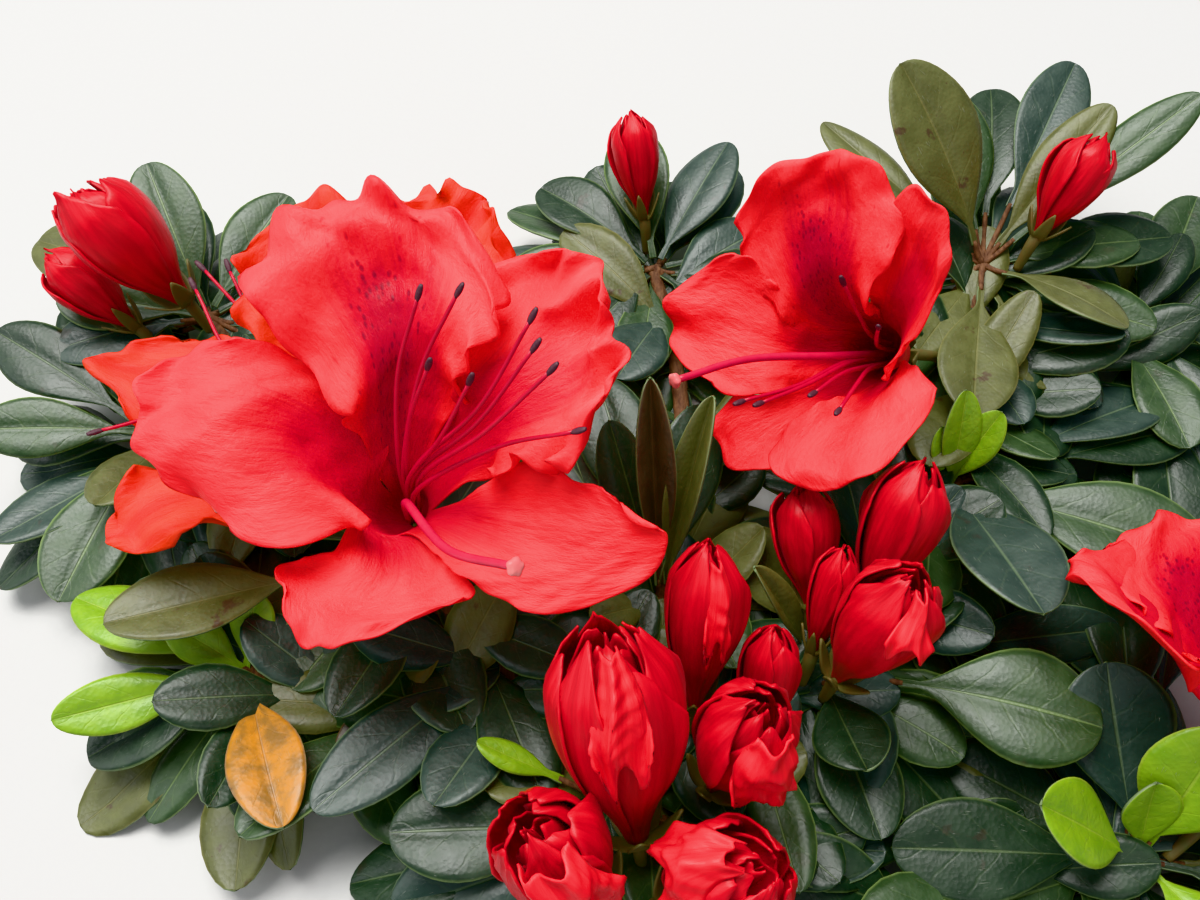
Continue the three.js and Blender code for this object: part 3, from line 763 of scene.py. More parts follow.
for order, (name, bloom) in enumerate(BLOOMS.items()):
    rng = np.random.default_rng(STAMEN_SEED + order)
    filaments, anthers = [], []
    for tip in STAMENS[name]:
        start, bow = rng.uniform(*FILAMENT_START), rng.uniform(*FILAMENT_BOW)
        line = arching_line(bloom, tip, start, FILAMENT_RINGS, bow)
        radii = np.linspace(1.25, 0.8, FILAMENT_RINGS) * FILAMENT_RADIUS
        filaments.append(tube(line, radii, FILAMENT_SIDES))
        anthers.append(anther(line, rng))
    piece(name + "_filaments", filaments, [filament_finish])
    piece(name + "_anthers", anthers, [anther_finish])
    line = arching_line(bloom, PISTILS[name], PISTIL_START, PISTIL_RINGS, PISTIL_BOW)
    pistil = tube(line, np.linspace(1.2, 0.9, PISTIL_RINGS) * PISTIL_RADIUS, PISTIL_SIDES)
    piece(name + "_pistil", [pistil], [pistil_finish])
    piece(name + "_stigma", [lobed_pad(line[-1], unit(line[-1] - line[-4]))], [stigma_finish])

    # The stalk from the shoot, and five sepals that hold the tube
    bend = (np.array(bloom["start"]) + bloom["base"]) / 2 + STALK_BEND
    stalk = smooth_line([bloom["start"], bend, in_bloom(bloom, 0, 0, 0.7)], STALK_RINGS)
    parts = [tube(stalk, np.linspace(*STALK_RADII, STALK_RINGS), STALK_SIDES)]
    for k in range(SEPALS):
        turn = (0.5 + k) * abs(PETAL_STEP) + bloom["petals"][0]["turn"]
        sepal = smooth_line([in_bloom(bloom, turn, *spot) for spot in SEPAL_ROUTE], SEPAL_RINGS)
        broad = unit(np.cross(unit(np.gradient(sepal, axis=0)), unit(sepal - bloom["base"])))
        parts.append(green_scale(sepal, broad, SEPAL_HALF, 0.5, 0.1))
    piece(name + "_stalk", parts, [stalk_finish])


# The buds
# Satin petals furled round one another, a rolled scroll inside and broad lapped petals outside, on
# a stalk with small scales. On some a crumpled petal is turned back and hangs down the outside.
BUD_HEIGHTS = (0, 0.14, 0.36, 0.60, 0.80, 0.92, 1.0)
BUD_SHARES = (0.15, 0.34, 0.74, 1.0, 0.96)
BUD_GRID, INNER_GRID = (26, 21), (14, 11)
SCROLL_TURNS = 1.3
SCROLL_GRID = (BUD_GRID[0], 2 * BUD_GRID[1])
OUTER_PETALS, PETAL_HALF, PETAL_LOWER = 5, 52, 0.03
FIRST_TURNED, NEXT_TURNED = 20, 144
NARROWEST = 0.04
BUD_SEED = 900
INNER_PETALS, INNER_LAYER, INNER_STEP, INNER_HALF, INNER_HEIGHT = 4, -4, 100, 66, 0.95
BUD_STALK_RINGS, BUD_STALK_RADII = 12, (0.75, 1.1)
BUD_SCALE_ROUTE = ((0, -0.5), (0.30, 0.4), (0.56, 2.6), (0.78, 5.0))
BUD_SCALES, BUD_SCALE_RINGS, BUD_SCALE_HALF = 5, 10, 0.2
BUD_FOOT_RED = (0.22, 0.001, 0.004)
BUD_TONES = {
    "furled_petal": ((0.42, 0.001, 0.008), (0.62, 0.006, 0.017)),
    "crumpled_petal": ((0.64, 0.007, 0.017), (0.82, 0.024, 0.034)),
}
BUD_RELIEF = (0.22, 0.0005)
BUD_SATIN = {
    "Roughness": 0.42, "Specular IOR Level": 0.35, "Sheen Weight": 0.08, "Sheen Roughness": 0.3,
    "Sheen Tint": (1.0, 0.4, 0.45, 1),
}


def bud(foot, tip, radius, blunt=0.25, **shape):
    """A bud from its foot to its tip. Blunt is the width left at its top, and turns are in degrees
    from the side that faces the camera, rightwards. A petal is [turn, half width, height]."""
    foot = np.array(foot, float)
    axis = unit(tip - foot)
    front = unit(eye - foot)
    front = unit(front - np.dot(front, axis) * axis)
    first = shape.get("first", FIRST_TURNED)
    petals = [(first + NEXT_TURNED * k, PETAL_HALF, 1.0 - PETAL_LOWER * k) for k in range(OUTER_PETALS)]
    usual = {"crumple": 1.0, "turned_back": [], "petals": petals}
    return {"foot": foot, "radius": radius, "blunt": blunt, "axis": axis, "front": front,
            "right": np.cross(axis, front), "length": float(np.linalg.norm(tip - foot)), **usual, **shape}


BUDS = {
    "bud_near_big": bud((5, -49, 18), (0, -29, 44), 8.6, 0.42, crumple=0.5, petals=[
        (178, 50, 1.0), (120, 46, 0.95), (-130, 46, 0.96), (12, 50, 0.90), (-82, 38, 0.93), (62, 44, 0.98),
        (-42, 32, 0.99)], turned_back=[(3, 19, 0.97, 0.48)]),
    "bud_near_left": bud((0, -55, 15), (-9, -51, 38), 7.4, 0.42, crumple=1.6, first=-30,
                         turned_back=[(-24, 40, 0.92, 0.38)]),
    "bud_near_right": bud((9, -57, 15), (20, -55, 35), 7.4, 0.40, crumple=1.4, first=60,
                          turned_back=[(-30, 36, 0.96, 0.42)]),
    "bud_mid_upper": bud((13, -32, 19), (14, -17, 43), 5.3, 0.08, crumple=0.5, petals=[
        (180, 56, 0.98), (100, 50, 0.96), (-110, 50, 0.96), (48, 44, 0.97), (-34, 58, 1.0)],
        turned_back=[(22, 16, 0.93, 0.45)]),
    "bud_mid_front": bud((15, -42, 18), (20, -38, 43), 6.4, 0.40, crumple=1.6, petals=[
        (180, 56, 0.98), (-120, 50, 0.96), (95, 50, 0.98), (-50, 54, 0.99), (35, 50, 0.96)],
        turned_back=[(50, 34, 0.93, 0.40)]),
    "bud_mid_back": bud((22, -35, 15), (23, -25, 34), 4.2, 0.12, crumple=0.6, first=-40),
    "bud_right_big": bud((33, -28, 21), (39, -23, 46), 6.4, 0.30, crumple=1.0, petals=[
        (180, 56, 0.98), (-105, 54, 0.96), (100, 50, 0.97), (60, 50, 0.95), (-22, 60, 0.98)],
        turned_back=[(40, 20, 0.98, 0.72)]),
    "bud_right_upper": bud((38, -17, 19), (44, -4, 41), 5.8, 0.14, crumple=0.7, first=-25),
    "bud_right_back": bud((31, -16, 17), (29, -2, 31), 4.9, 0.30, crumple=0.8, first=30),
    "bud_right_small": bud((30, -24, 20), (33, -14, 35), 3.5, 0.10, crumple=0.5, first=-30),
    "bud_top_right": bud((74, 48, 25), (82, 57, 40), 5.2, 0.16, first=10),
    "bud_opening_left": bud((-68, 35, 24), (-81, 42, 44), 7.2, 0.62, crumple=0.6, petals=[
        (175, 62, 0.92), (110, 50, 0.88), (-110, 56, 0.95), (52, 62, 0.92), (-42, 66, 1.02)]),
    "bud_back_left": bud((-78, 34, 18), (-90, 40, 31), 4.8, 0.16, first=40),
    "bud_back_middle": bud((8, 59, 17), (5, 70, 33), 4.4, 0.12, first=0),
}


def bud_girth(form, up, blunt=None):
    """The share of its full radius that a bud has at a height."""
    blunt = form["blunt"] if blunt is None else blunt
    shares = np.array((*BUD_SHARES, 0.5 + 0.4 * blunt, blunt))
    return curve_at(shares[:, None], np.interp(up, BUD_HEIGHTS, np.arange(len(BUD_HEIGHTS))))[..., 0]


def bud_sheet(form, turn, share, up, t, flip=False, look=0):
    """A sheet by its turn in radians, its share of the bud's radius and of the bud's length."""
    turn, share = turn[..., None], np.maximum(share, NARROWEST)[..., None]
    out = np.sin(turn) * form["right"] + np.cos(turn) * form["front"]
    points = form["foot"] + form["radius"] * share * out + form["length"] * up[..., None] * form["axis"]
    order = slice(None, None, -1 if flip else 1)
    return shell(points[order], PETAL_THICK, sheet_spots(t, up)[order], look)


def lapped_petal(form, turn, half, tall, layer, rng, grid=BUD_GRID):
    """A petal of a bud, with one margin tucked under its neighbour and the other standing proud."""
    t, s = sheet_lines(grid)
    radius = form["radius"]
    x = t * math.radians(half) * radius
    y = s * form["length"]
    up = s * (tall - 0.24 * np.abs(t) ** 2.2 + 0.016 * ripples(rng, x, 0 * y, 3, 2.4, 6))
    high = ease(up, 0.5, 0.98)
    tight = np.clip(0.85 + 0.05 * layer, 0.4, 1.1) * rng.uniform(0.8, 1.1)
    share = bud_girth(form, up, form["blunt"] * tight) * (0.82 + 0.03 * layer)
    share += 0.09 * (t + 0.35) * ease(up, 0.05, 0.4) * (1 - 0.45 * high)
    share += 0.08 * ease(t, 0.76, 1.0) * ease(up, 0.2, 0.6) * rng.uniform(0.3, 1.4)
    warp = 0.3 * radius * np.sin(y / (0.5 * radius) + rng.uniform(0, 6))
    rough = form["crumple"] * (0.2 + 0.8 * high)
    share += 0.02 * ripples(rng, x, 0.35 * y, 3, 1.1 * radius, 2.2 * radius)
    share += 0.04 * rough * ripples(rng, x + warp, 0.8 * y, 3, 0.7 * radius, 1.5 * radius, sharp=True)
    share += 0.02 * rough * high * ripples(rng, x, y + warp, 4, 0.25 * radius, 0.5 * radius)
    around = math.radians(turn) + math.radians(half) * t * (1 - 0.2 * high) + 0.25 * (up - 0.5)
    return bud_sheet(form, around, share, up, t)


def scroll(form, rng):
    """The innermost petals, rolled up together, which close the mouth of the bud."""
    t, s = sheet_lines(SCROLL_GRID, 0)
    around = 2 * math.pi * SCROLL_TURNS * t + rng.uniform(0, 6)
    up = s * (0.84 + 0.08 * t + 0.05 * np.sin(1.3 * around) + 0.03 * np.sin(4.1 * around))
    share = bud_girth(form, up) * (0.50 - 0.42 * t)
    share = share * (1 + 0.14 * np.sin(2.3 * around + 4 * up) + 0.06 * np.sin(5.1 * around - 5 * up))
    return bud_sheet(form, around + 0.6 * up, share, up, t)


def turned_petal(form, turn, half, top, bottom, rng):
    """A crumpled petal that comes over the top of a bud and hangs down its outside."""
    t, s = sheet_lines(BUD_GRID)
    radius = form["radius"]
    x = t * math.radians(half) * radius
    lobes = 0.70 + 0.36 * np.exp(-((np.abs(t) - 0.6) / 0.26) ** 2) * (1 - 0.25 * t)
    up = top + (bottom - top) * s * lobes
    y = up * form["length"]
    crest = np.exp(-((t - 0.35 * np.sin(3 * s + rng.uniform(0, 6))) / 0.35) ** 2)
    share = bud_girth(form, up) + 0.16 + 0.17 * crest + 0.18 * ease(s, 0.55, 1.0) * np.abs(t) ** 0.7
    share -= 0.20 * np.abs(t) ** 3 * (1 - ease(s, 0.3, 0.9))
    share += 0.0021 * half * ripples(rng, x, 0.8 * y, 4, 0.3 * radius, 0.8 * radius, sharp=True)
    share += 0.02 * ripples(rng, x, y, 4, 1.6, 3.2)
    around = math.radians(turn) + math.radians(half) * t * (1 + 0.18 * np.sin(5 * s + rng.uniform(0, 6)))
    around = around + 0.06 * np.sin(4 * s + rng.uniform(0, 6))
    return bud_sheet(form, around, share, up, t, flip=True, look=1)


def bud_stalk(form, rng):
    """The bud's stalk and its five small pointed scales."""
    foot, axis, radius = form["foot"], form["axis"], form["radius"]
    line = smooth_line([foot - axis * 4 - (0, 0, 3), foot - axis * 1.5, foot + axis * 0.8], BUD_STALK_RINGS)
    parts = [tube(line, np.linspace(*BUD_STALK_RADII, BUD_STALK_RINGS), STALK_SIDES)]
    for k in range(BUD_SCALES):
        turn = 2 * math.pi * k / BUD_SCALES + rng.uniform(-0.2, 0.2)
        way = math.cos(turn) * form["front"] + math.sin(turn) * form["right"]
        tall = rng.uniform(0.8, 1.15)
        heights = [up * tall if up > 1 else up for _, up in BUD_SCALE_ROUTE]
        route = [foot + way * radius * out + axis * up for (out, _), up in zip(BUD_SCALE_ROUTE, heights)]
        line = smooth_line(route, BUD_SCALE_RINGS)
        parts.append(green_scale(line, np.cross(axis, way), BUD_SCALE_HALF * radius, 0.6, 0.06))
    return parts


def bud_group():
    """Deep satin red, darker at the bud's foot, with faint lengthwise streaks."""
    group, given = new_group("bud", ("Dark", "Light"))
    spot, _, along = own_map(group)
    streaks = between(group, noise(group, spot, (9, 2.6, 1), 4.0), 0.32, 0.72)
    colour = blend(group, streaks, given["Dark"], given["Light"])
    colour = blend(group, between(group, along, 0.0, 0.45, 0.55, 0.0), colour, BUD_FOOT_RED)
    return end_group(group, Colour=colour, Relief=noise(group, spot, (15, 11, 1), 5.0, 0.6))


bud_paint = bud_group()
bud_petals = [group_material(name, bud_paint, {"Dark": dark, "Light": light}, BUD_RELIEF, BUD_SATIN)
              for name, (dark, light) in BUD_TONES.items()]

for order, (name, form) in enumerate(BUDS.items()):
    rng = np.random.default_rng(BUD_SEED + order)
    sheets = [scroll(form, rng)]
    for k in range(INNER_PETALS):
        inner = (INNER_STEP * k, INNER_HALF, INNER_HEIGHT, INNER_LAYER - 2 * k)
        sheets.append(lapped_petal(form, *inner, rng, INNER_GRID))
    sheets += [lapped_petal(form, *outer, layer, rng) for layer, outer in enumerate(form["petals"])]
    sheets += [turned_petal(form, *turned, rng) for turned in form["turned_back"]]
    piece(name + "_petals", sheets, bud_petals, [name])
    piece(name + "_scales", bud_stalk(form, rng), [stalk_finish])


# The leaves
# Leathery blades on short stalks, in whorls at the ends of the shoots, glossy dark green above and
# paler below, with a sunken midrib. A leaf is [turn, lift, start, end, half width, kind, fold].
GLOSS, OLIVE_GLOSS = 0.40, 0.46
HAIR_COLOUR, SPECK_COLOUR = (0.42, 0.46, 0.36), (0.06, 0.022, 0.018)

# A kind's dark, light and line colours, and how much of it specks and patches cover
LEAF_KINDS = {
    "deep": ((0.013, 0.027, 0.015), (0.031, 0.056, 0.030), (0.15, 0.21, 0.09), 0.12, 0.3),
    "grey": ((0.026, 0.046, 0.037), (0.054, 0.084, 0.065), (0.18, 0.25, 0.13), 0.12, 0.3),
    "mid": ((0.025, 0.050, 0.022), (0.056, 0.096, 0.040), (0.22, 0.31, 0.11), 0.05, 0.2),
    "olive": ((0.070, 0.076, 0.026), (0.130, 0.140, 0.048), (0.20, 0.19, 0.07), 0.75, 0.7),
    "young": ((0.125, 0.260, 0.012), (0.225, 0.370, 0.018), (0.36, 0.46, 0.08), 0.05, 0.0),
    "gold": ((0.120, 0.085, 0.030), (0.640, 0.250, 0.015), (0.30, 0.20, 0.12), 0.6, 0.7),
    "bronze": ((0.050, 0.035, 0.022), (0.110, 0.080, 0.045), (0.20, 0.12, 0.06), 0.3, 0.5),
}

# A shoot's end and its leaves
SHOOTS = {
    "leaves_left_truss": ((-32, -6, 13), [
        (-160, 12, 14, 42, 6.2, "olive"), (-112, -8, 2, 24, 5.5), (60, -5, 4, 27, 6)]),
    "leaves_left_stalk": ((-14, -21, 11), [
        # The first leaf here takes the paler grey kind partly for its own grey-green tone and partly as
        # painted light, standing for the soft highlight that lies on it
        (-136, 10, 4, 35, 5.8, "grey"), (-148, 2, -2, 28, 5.6, "bronze"), (-100, -10, 2, 22, 5),
        (55, -4, 2, 22, 5)]),
    "leaves_lower_left": ((-53, -23, 10), [
        (-160, 10, 4, 27, 4.2, "young"), (158, 4, 3, 30, 5.5, "young"), (155, 30, 0, 14, 3.6, "young"),
        (80, 35, 0, 12, 3.4, "young"), (-152, -8, 2, 26, 6.2), (-66, 18, 4, 28, 5.4, "gold"),
        (-26, -8, 2, 22, 5.6, "grey"), (120, 0, 2, 24, 5)]),
    "leaves_far_left": ((-75, 18, 11), [
        (-173, 14, 2, 27, 5.2, "mid"), (-108, -4, 2, 31, 6.8, "mid"), (-130, -10, 6, 34, 5.8),
        (150, 14, 4, 32, 6), (-60, -6, 2, 22, 5.2)]),
    "leaves_upper_left": ((-68, 39, 15), [
        (115, 28, 2, 29, 6, "mid"), (64, 10, 2, 27, 5.6, "mid"), (178, 18, 2, 25, 6, "mid"),
        (156, 8, 6, 35, 7.2, "olive"), (30, 0, 2, 22, 5), (-160, 6, 4, 26, 5.6, "grey")]),
    "leaves_middle": ((9, -14, 14), [
        (97, 60, 4, 38, 2.7, "bronze", 1.6), (71, 57, 4, 35, 2.5, "olive", 1.6), (112, 48, 2, 30, 4.2),
        (122, 8, 6, 36, 6.2), (140, 2, 8, 36, 6.6, "mid"), (105, 14, 8, 38, 6), (76, 34, 4, 31, 5.2),
        (28, 24, 2, 25, 5), (-155, 30, 0, 13, 3.4, "olive")]),
    "leaves_near": ((9, -46, 11), [
        (-178, 6, 9, 38, 7), (160, 20, 16, 29, 2.2, "young"), (148, 2, 6, 26, 5.6), (-18, -2, 6, 32, 6),
        (0, -4, 8, 35, 6), (-50, -4, 4, 28, 6), (-95, -2, 4, 26, 6), (-140, -6, 6, 28, 5.6),
        (-164, -4, 10, 40, 6.6, "grey"), (-150, -6, 12, 40, 6.4), (-172, -8, 16, 46, 6.2)]),
    "leaves_back": ((10, 52, 12), [
        (100, 16, 2, 29, 6, "mid"), (140, 6, 2, 28, 6), (60, 16, 2, 29, 6, "grey"), (15, 0, 2, 27, 5.6),
        (-175, 2, 2, 27, 5.6, "mid"), (-130, 0, 2, 26, 6), (-50, 0, 2, 24, 5.4)]),
    "leaves_right_truss": ((32, -23, 12), [
        (148, 58, 2, 24, 2.2, "olive", 1.2), (-78, 26, 4, 20, 5.4), (-76, 4, 4, 26, 6.2),
        (-48, -8, 6, 36, 7), (-17, 12, 12, 40, 8.4, "mid"), (8, -2, 16, 48, 4.6, "grey"),
        (-112, -10, 2, 20, 5.4)]),
    "leaves_right": ((56, 7, 13), [
        (-80, 28, 2, 32, 7.8, "grey"), (-25, 10, 5, 40, 8, "mid"), (88, 62, 0, 17, 3.2, "young"),
        (45, 58, 0, 15, 3.2, "young"), (118, 60, 0, 11, 2.8, "young"), (25, -2, 14, 44, 5.8, "grey"),
        (16, -3, 18, 46, 5.4), (150, -5, 4, 26, 5.6), (-125, -6, 3, 24, 5.6), (-38, -6, 8, 36, 6.8),
        (-52, -8, 14, 42, 6.6, "grey"), (-12, -8, 12, 42, 6.6)]),
    "leaves_top_right": ((67, 48, 18), [
        (131, 46, 4, 38, 8.2, "olive"), (45, 50, 4, 34, 5, "olive"), (62, 16, 12, 44, 6, "grey"),
        (29, 30, 6, 44, 4.6, "mid"), (-42, 14, 4, 27, 6.4, "olive"), (-104, 7, 6, 35, 6.6, "olive"),
        (130, 6, 10, 40, 5, "olive"), (142, -3, 14, 42, 5.6, "olive"), (80, 8, 10, 40, 6.4),
        (96, 14, 6, 36, 6.4, "mid"), (8, 4, 4, 34, 6.2)]),
    "leaves_right_mid": ((97, 40, 11), [
        (62, 6, 3, 31, 6, "mid"), (12, 2, 3, 27, 5.8), (-75, -2, 3, 28, 5.6), (-30, 6, 3, 26, 5.6),
        (175, -10, 3, 22, 5, "grey"), (120, 4, 3, 28, 5.6), (-96, -4, 14, 44, 6.4),
        (-84, -6, 12, 42, 6.2, "grey"), (-106, -7, 14, 43, 6)]),
    "leaves_lower_right": ((74, -50, 10), [
        (98, 26, 3, 27, 8, "grey"), (168, 42, 3, 24, 5.6, "young"), (62, 56, 3, 24, 7, "young"),
        (100, 62, 1, 15, 4, "young"), (178, 3, 4, 34, 7), (-60, 24, 2, 22, 5, "young"),
        (-112, -4, 3, 28, 6), (-14, 2, 3, 29, 6), (35, 4, 3, 25, 5.6), (80, -2, 18, 46, 6.2),
        (68, -4, 22, 52, 6.4, "grey"), (92, -6, 16, 44, 6)]),
}

# A leaf's blade, stalk and map; the first sixth of a leaf, its foot, may touch a flower
LEAF_GRID, FILL_GRID = (24, 13), (14, 7)
LEAF_THICK, LEAF_ROLL = 0.36, 14
LEAF_STALK, STALK_HALF, FOOT_PART = 0.07, 0.55, 6
SIDE_VEINS = 5.5
LOWEST, PRESSED, PRESSED_FROM = 0.5, 0.25, 4
MAP_EDGE, MAP_WIDTH, MAP_LENGTH, MAP_UNDER = 0.01, 0.48, 0.98, (0.5, 0)
LEAF_RELIEF = (0.45, 0.00035)
LEAF_COAT = {"Coat Weight": 0.16, "Coat Roughness": 0.34}

# A twig, for a leaf that starts further than this from its shoot
TWIG_START, TWIG_RINGS, TWIG_SIDES = 2, 7, 7
TWIG_RADII, TWIG_SAG, TWIG_INTO, TWIG_LOWEST = (0.6, 0.4), (0, 0, 0.4), 0.6, 0.8

# Room that leaves keep: before and behind a bloom's wall, past its rim, round its tube and a bud
OPEN_AIR, NEAR_AIR, WALL_GAP, RIM_GAP, BUD_GAP = 26, 5, 2.5, 1, 1.1
TUBE_GAP, TUBE_FLARE, FLARE_TOP, TUBE_TOP = 2, 0.25, 15, 16
FLARE_POWER, PETAL_HALF_TURN, PETAL_SHARE_TURN = 1.25, 46, 30
LOWERED, LOWER_STEP = 40, 6

# The leaves of the lower whorls and of the boughs, drawn at random from these ranges
FILL_KINDS = ["deep", "deep", "deep", "grey", "mid", "olive"]
GOLDEN_TURN = 137.5
FILL_LEAVES, FILL_DROP, FILL_STEP = 20, 1, 0.35
FILL_LIFT, FILL_START, FILL_END, FILL_HALF, FILL_SWAY = (-12, 12), (1, 7), (22, 33), (4.6, 6.6), (-15, 15)
BOUGH_SPOTS, LEAFY_SPOTS = 40, slice(4, -2, 2)
BOUGH_LIFT, BOUGH_END, BOUGH_HALF, BOUGH_SWAY = (-6, 28), (18, 28), (4.2, 6.0), (-20, 20)
SHOOT_SEED, LOWER_SEED, BOUGH_LEAF_SEED = 1200, 2400, 3600


def heading(turn, lift):
    turn, lift = math.radians(turn), math.radians(lift)
    return np.array((math.cos(lift) * math.cos(turn), math.cos(lift) * math.sin(turn), math.sin(lift)))


def waves(rng, t, s, count, low, high):
    """Smooth random waves over a sheet, between minus one and one."""
    total = 0
    for _ in range(count):
        turn = rng.uniform(-0.5, 0.5)
        cycles = rng.uniform(low, high)
        total += np.sin(math.pi * cycles * (t * math.cos(turn) + s * math.sin(turn)) + rng.uniform(0, 6.3))
    return total / count


def leaf_sheet(base, turn, lift, length, half_width, roll, rng, grid, fold):
    """An arched blade with a sunken midrib, quilted between its side veins, edges turned down."""
    t, u = sheet_lines(grid)
    u = (1 - np.cos(math.pi * u)) / 2
    edge = np.abs(t)
    blade = np.clip((u - LEAF_STALK) / (1 - LEAF_STALK), 0, 1)
    outline = np.sin(math.pi * blade ** rng.uniform(1.2, 1.6)) ** (0.95 - 0.46 * blade)
    width = np.maximum(half_width * outline, STALK_HALF * (1 - blade)) * t
    fold = rng.uniform(0.10, 0.32) if fold is None else fold
    rise = np.abs(width) * fold - 0.9 * rng.uniform(0.5, 1.5) * outline * edge ** 2.6
    rise -= 0.30 * np.exp(-(width / 0.7) ** 2) * outline
    veins = np.cos(2 * math.pi * (blade * SIDE_VEINS - edge * 1.1))
    rise += 0.018 * veins * outline * np.clip(edge * 4, 0, 1) * np.clip(3 - 3 * edge, 0, 1)
    rise += rng.uniform(0.2, 0.8) * edge ** 2 * outline * waves(rng, t * 0.6, u * 2.2, 3, 0.8, 2.4)

    # The blade's line from its foot, then its width and relief across that line
    u = u[:, 0]
    pitch = math.radians(lift) + rng.uniform(-0.1, 0.7) * (0.45 - u)
    step = np.diff(u, prepend=0) * length
    flat, up = heading(turn, 0), np.array((0, 0, 1.0))
    left = np.array((-flat[1], flat[0], 0))
    tilt = (math.radians(roll) + rng.uniform(-0.25, 0.25) * u)[:, None]
    normal = -np.sin(pitch)[:, None] * flat + np.cos(pitch)[:, None] * up
    side = np.cos(tilt) * left + np.sin(tilt) * normal
    upper = -np.sin(tilt) * left + np.cos(tilt) * normal
    forward, upward = np.cumsum(step * np.cos(pitch)), np.cumsum(step * np.sin(pitch))
    line = base + forward[:, None] * flat + upward[:, None] * up
    points = line[:, None] + width[..., None] * side[:, None] + rise[..., None] * upper[:, None]
    lowest = LOWEST + PRESSED * np.clip(points[..., 2] / PRESSED_FROM, -1, 0)
    points[..., 2] = np.maximum(points[..., 2], lowest)
    return points, MAP_EDGE + sheet_spots(t, u[:, None]) * (MAP_WIDTH, MAP_LENGTH)


def leaf_group():
    """A leaf's skin, from its own map: midrib, side veins, margin, specks and short pale hairs."""
    group, given = new_group("leaf", ("Dark", "Light", "Line"), ("Specks", "Patches", "Gloss"))
    spot, half, along = own_map(group)
    across = maths(group, "FRACT", maths(group, "MULTIPLY", half, 2.0))
    away = maths(group, "MULTIPLY", away_from(group, across, 0.5), 2.08)
    phase = maths(group, "MULTIPLY_ADD", away, -1.15, maths(group, "MULTIPLY", along, SIDE_VEINS))
    phase = maths(group, "MULTIPLY_ADD", noise(group, spot, (7, 5, 1)), 0.5, phase)
    ridge = away_from(group, maths(group, "FRACT", phase), 0.5)
    midrib = between(group, away, 0.012, 0.045, 1, 0)
    veins = maths(group, "MULTIPLY", between(group, ridge, 0.43, 0.495),
                  between(group, away, 0.60, 0.92, 1, 0))
    margin = between(group, away, 0.93, 1.0)
    specks = between(group, noise(group, spot, (36, 40, 1), 3.0), 0.66, 0.74)
    hairs = between(group, noise(group, spot, (150, 16, 1), 1.0), 0.68, 0.76)
    mottle = between(group, noise(group, spot, (7, 8, 1), 4.0), 0.32, 0.68)

    place_on = object_spot(group)
    drift = maths(group, "ADD", mottle, noise(group, place_on, 45.0))
    colour = blend(group, maths(group, "MULTIPLY", drift, 0.5), given["Dark"], given["Light"])
    shares = ((veins, 0.07, given["Line"]), (midrib, 0.40, given["Line"]), (margin, 0.75, given["Line"]),
              (specks, given["Specks"], SPECK_COLOUR), (hairs, 0.24, HAIR_COLOUR))
    for mask, share, over in shares:
        colour = blend(group, maths(group, "MULTIPLY", mask, share), colour, over)
    patches = between(group, noise(group, place_on, 190.0, 5.0, 0.6), 0.63, 0.70, 0, given["Patches"])
    colour = blend(group, patches, colour, SPECK_COLOUR)

    grain = add(group, "ShaderNodeTexVoronoi", "Distance", {"Vector": place_on, "Scale": 1500.0})
    relief = 0.0
    for height, share in ((grain, 0.30), (hairs, 0.5), (veins, -0.16), (midrib, -0.8)):
        relief = maths(group, "MULTIPLY_ADD", height, share, relief)
    roughness = maths(group, "MULTIPLY_ADD", mottle, 0.12, given["Gloss"])
    return end_group(group, Colour=colour, Roughness=roughness, Relief=relief)


leaf_skin = leaf_group()
under_leaf = plain_finish("under_leaf", (0.14, 0.20, 0.09), 0.6, (0.20, 0.26, 0.14), 400.0)
leaf_finish = {}
for kind, looks in LEAF_KINDS.items():
    values = dict(zip(("Dark", "Light", "Line", "Specks", "Patches"), looks))
    values["Gloss"] = OLIVE_GLOSS if kind == "olive" else GLOSS
    leaf_finish[kind] = group_material(kind + "_leaf", leaf_skin, values, LEAF_RELIEF, LEAF_COAT)


def wall_height(bloom, turn, radius):
    """Height of the bloom's wall at this turn and radius, and how far out the wall goes."""
    reach, rise, weight = (np.zeros_like(radius) for _ in range(3))
    for tip in bloom["petals"]:
        away = np.abs((turn - tip["turn"] + 180) % 360 - 180)
        reach = np.maximum(reach, tip["reach"] * (1 - 0.5 * (away / PETAL_HALF_TURN) ** 3))
        share = np.exp(-(away / PETAL_SHARE_TURN) ** 2)
        rise += tip["height"] * share
        weight += share
    s = np.clip((radius - THROAT_RADIUS) / (reach - THROAT_RADIUS), 0, 1) ** (1 / FLARE_POWER)
    return THROAT_HEIGHT + (rise / weight - THROAT_HEIGHT) * (1 - (1 - s) ** RISE_POWER), reach


def clear_of_flowers(points, air):
    """True where a leaf keeps out of every bloom and bud, and out of the air before a bloom."""
    points = points.reshape(-1, 3)
    for bloom in BLOOMS.values():
        away = points - bloom["base"]
        x, y, height = (away @ bloom[way] for way in ("right", "top", "axis"))
        radius = np.hypot(x, y)
        wall, reach = wall_height(bloom, np.degrees(np.arctan2(y, x)), radius)
        inside = (radius < reach + RIM_GAP) & (height > wall - WALL_GAP) & (height < wall + air)
        tube_radius = TUBE_RADIUS + TUBE_GAP + TUBE_FLARE * np.clip(height, 0, FLARE_TOP)
        in_tube = (radius < tube_radius) & (height > 0) & (height < TUBE_TOP)
        if np.any(inside | in_tube):
            return False
    for form in BUDS.values():
        away = points - form["foot"]
        along = np.clip(away @ form["axis"] / form["length"], 0, 1)
        gap = np.linalg.norm(away - (along * form["length"])[:, None] * form["axis"], axis=1)
        if np.any(gap < BUD_GAP * form["radius"] * bud_girth(form, along)):
            return False
    return True


leaf_parts = {kind: [] for kind in LEAF_KINDS}
twig_parts = []


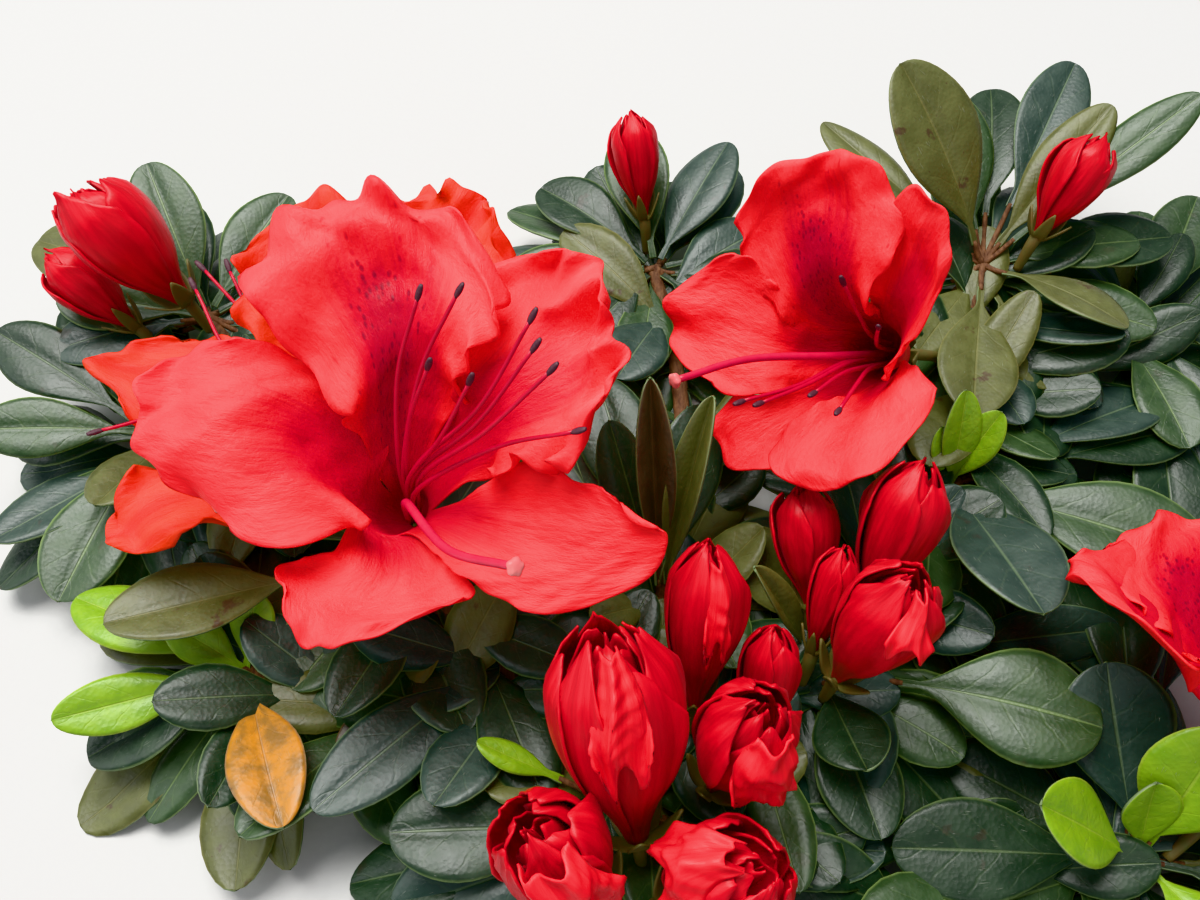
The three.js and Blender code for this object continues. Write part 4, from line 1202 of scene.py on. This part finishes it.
def add_twig(root, base, way):
    """Grows a thin twig from its shoot to the foot of a leaf that stands away from it."""
    line = smooth_line([root, (root + base) / 2 - TWIG_SAG, base + TWIG_INTO * way], TWIG_RINGS)
    line[:, 2] = np.maximum(line[:, 2], TWIG_LOWEST)
    twig_parts.append(tube(line, np.linspace(*TWIG_RADII, TWIG_RINGS), TWIG_SIDES))


def add_leaf(rng, at, turn, lift, start, end, half_width, kind="deep", fold=None, root=None, grid=LEAF_GRID):
    """Grows one leaf, turned down a little at a time until it keeps clear of the flowers."""
    for lower in range(0, LOWERED, LOWER_STEP):
        way = heading(turn, lift - lower)
        base = np.array(at, float) + start * way
        roll = rng.uniform(-LEAF_ROLL, LEAF_ROLL)
        points, spots = leaf_sheet(base, turn, lift - lower, end - start, half_width, roll, rng, grid, fold)
        if clear_of_flowers(points[len(points) // FOOT_PART:], OPEN_AIR if fold is None else NEAR_AIR):
            spots = spots[:, ::-1]
            leaf_parts[kind].append(shell(points[:, ::-1], LEAF_THICK, spots, 0, spots + MAP_UNDER, 1))
            if start > TWIG_START:
                add_twig(np.array(at if root is None else root, float), base, way)
            return


for order, (at, leaves) in enumerate(SHOOTS.values()):
    rng = np.random.default_rng(SHOOT_SEED + order)
    for leaf in leaves:
        add_leaf(rng, at, *leaf)

# Lower whorls under the leaves that show, thinning the light that comes through
for order, (root, _) in enumerate(SHOOTS.values()):
    rng = np.random.default_rng(LOWER_SEED + order)
    for k in range(FILL_LEAVES):
        at = np.array(root, float) - (0, 0, FILL_DROP + FILL_STEP * k)
        kind = FILL_KINDS[rng.integers(len(FILL_KINDS))]
        end = rng.uniform(*FILL_END)
        turn = GOLDEN_TURN * k + rng.uniform(*FILL_SWAY)
        lift, start, half = (rng.uniform(*span) for span in (FILL_LIFT, FILL_START, FILL_HALF))
        add_leaf(rng, at, turn, lift, start, end, half, kind, root=root, grid=FILL_GRID)

# Leaves that leave the boughs between their ends
for order, route in enumerate(BOUGHS.values()):
    rng = np.random.default_rng(BOUGH_LEAF_SEED + order)
    for k, at in enumerate(smooth_line(route, BOUGH_SPOTS)[LEAFY_SPOTS]):
        kind = FILL_KINDS[rng.integers(len(FILL_KINDS))]
        turn = GOLDEN_TURN * k + rng.uniform(*BOUGH_SWAY)
        lift, end, half = (rng.uniform(*span) for span in (BOUGH_LIFT, BOUGH_END, BOUGH_HALF))
        add_leaf(rng, at, turn, lift, 1, end, half, kind, grid=FILL_GRID)

piece("twigs", twig_parts, [young_bark])
for kind, parts in leaf_parts.items():
    made = piece(kind + "_leaves", parts, [leaf_finish[kind], under_leaf])
    if kind == "deep":
        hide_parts(*SHOOTS)
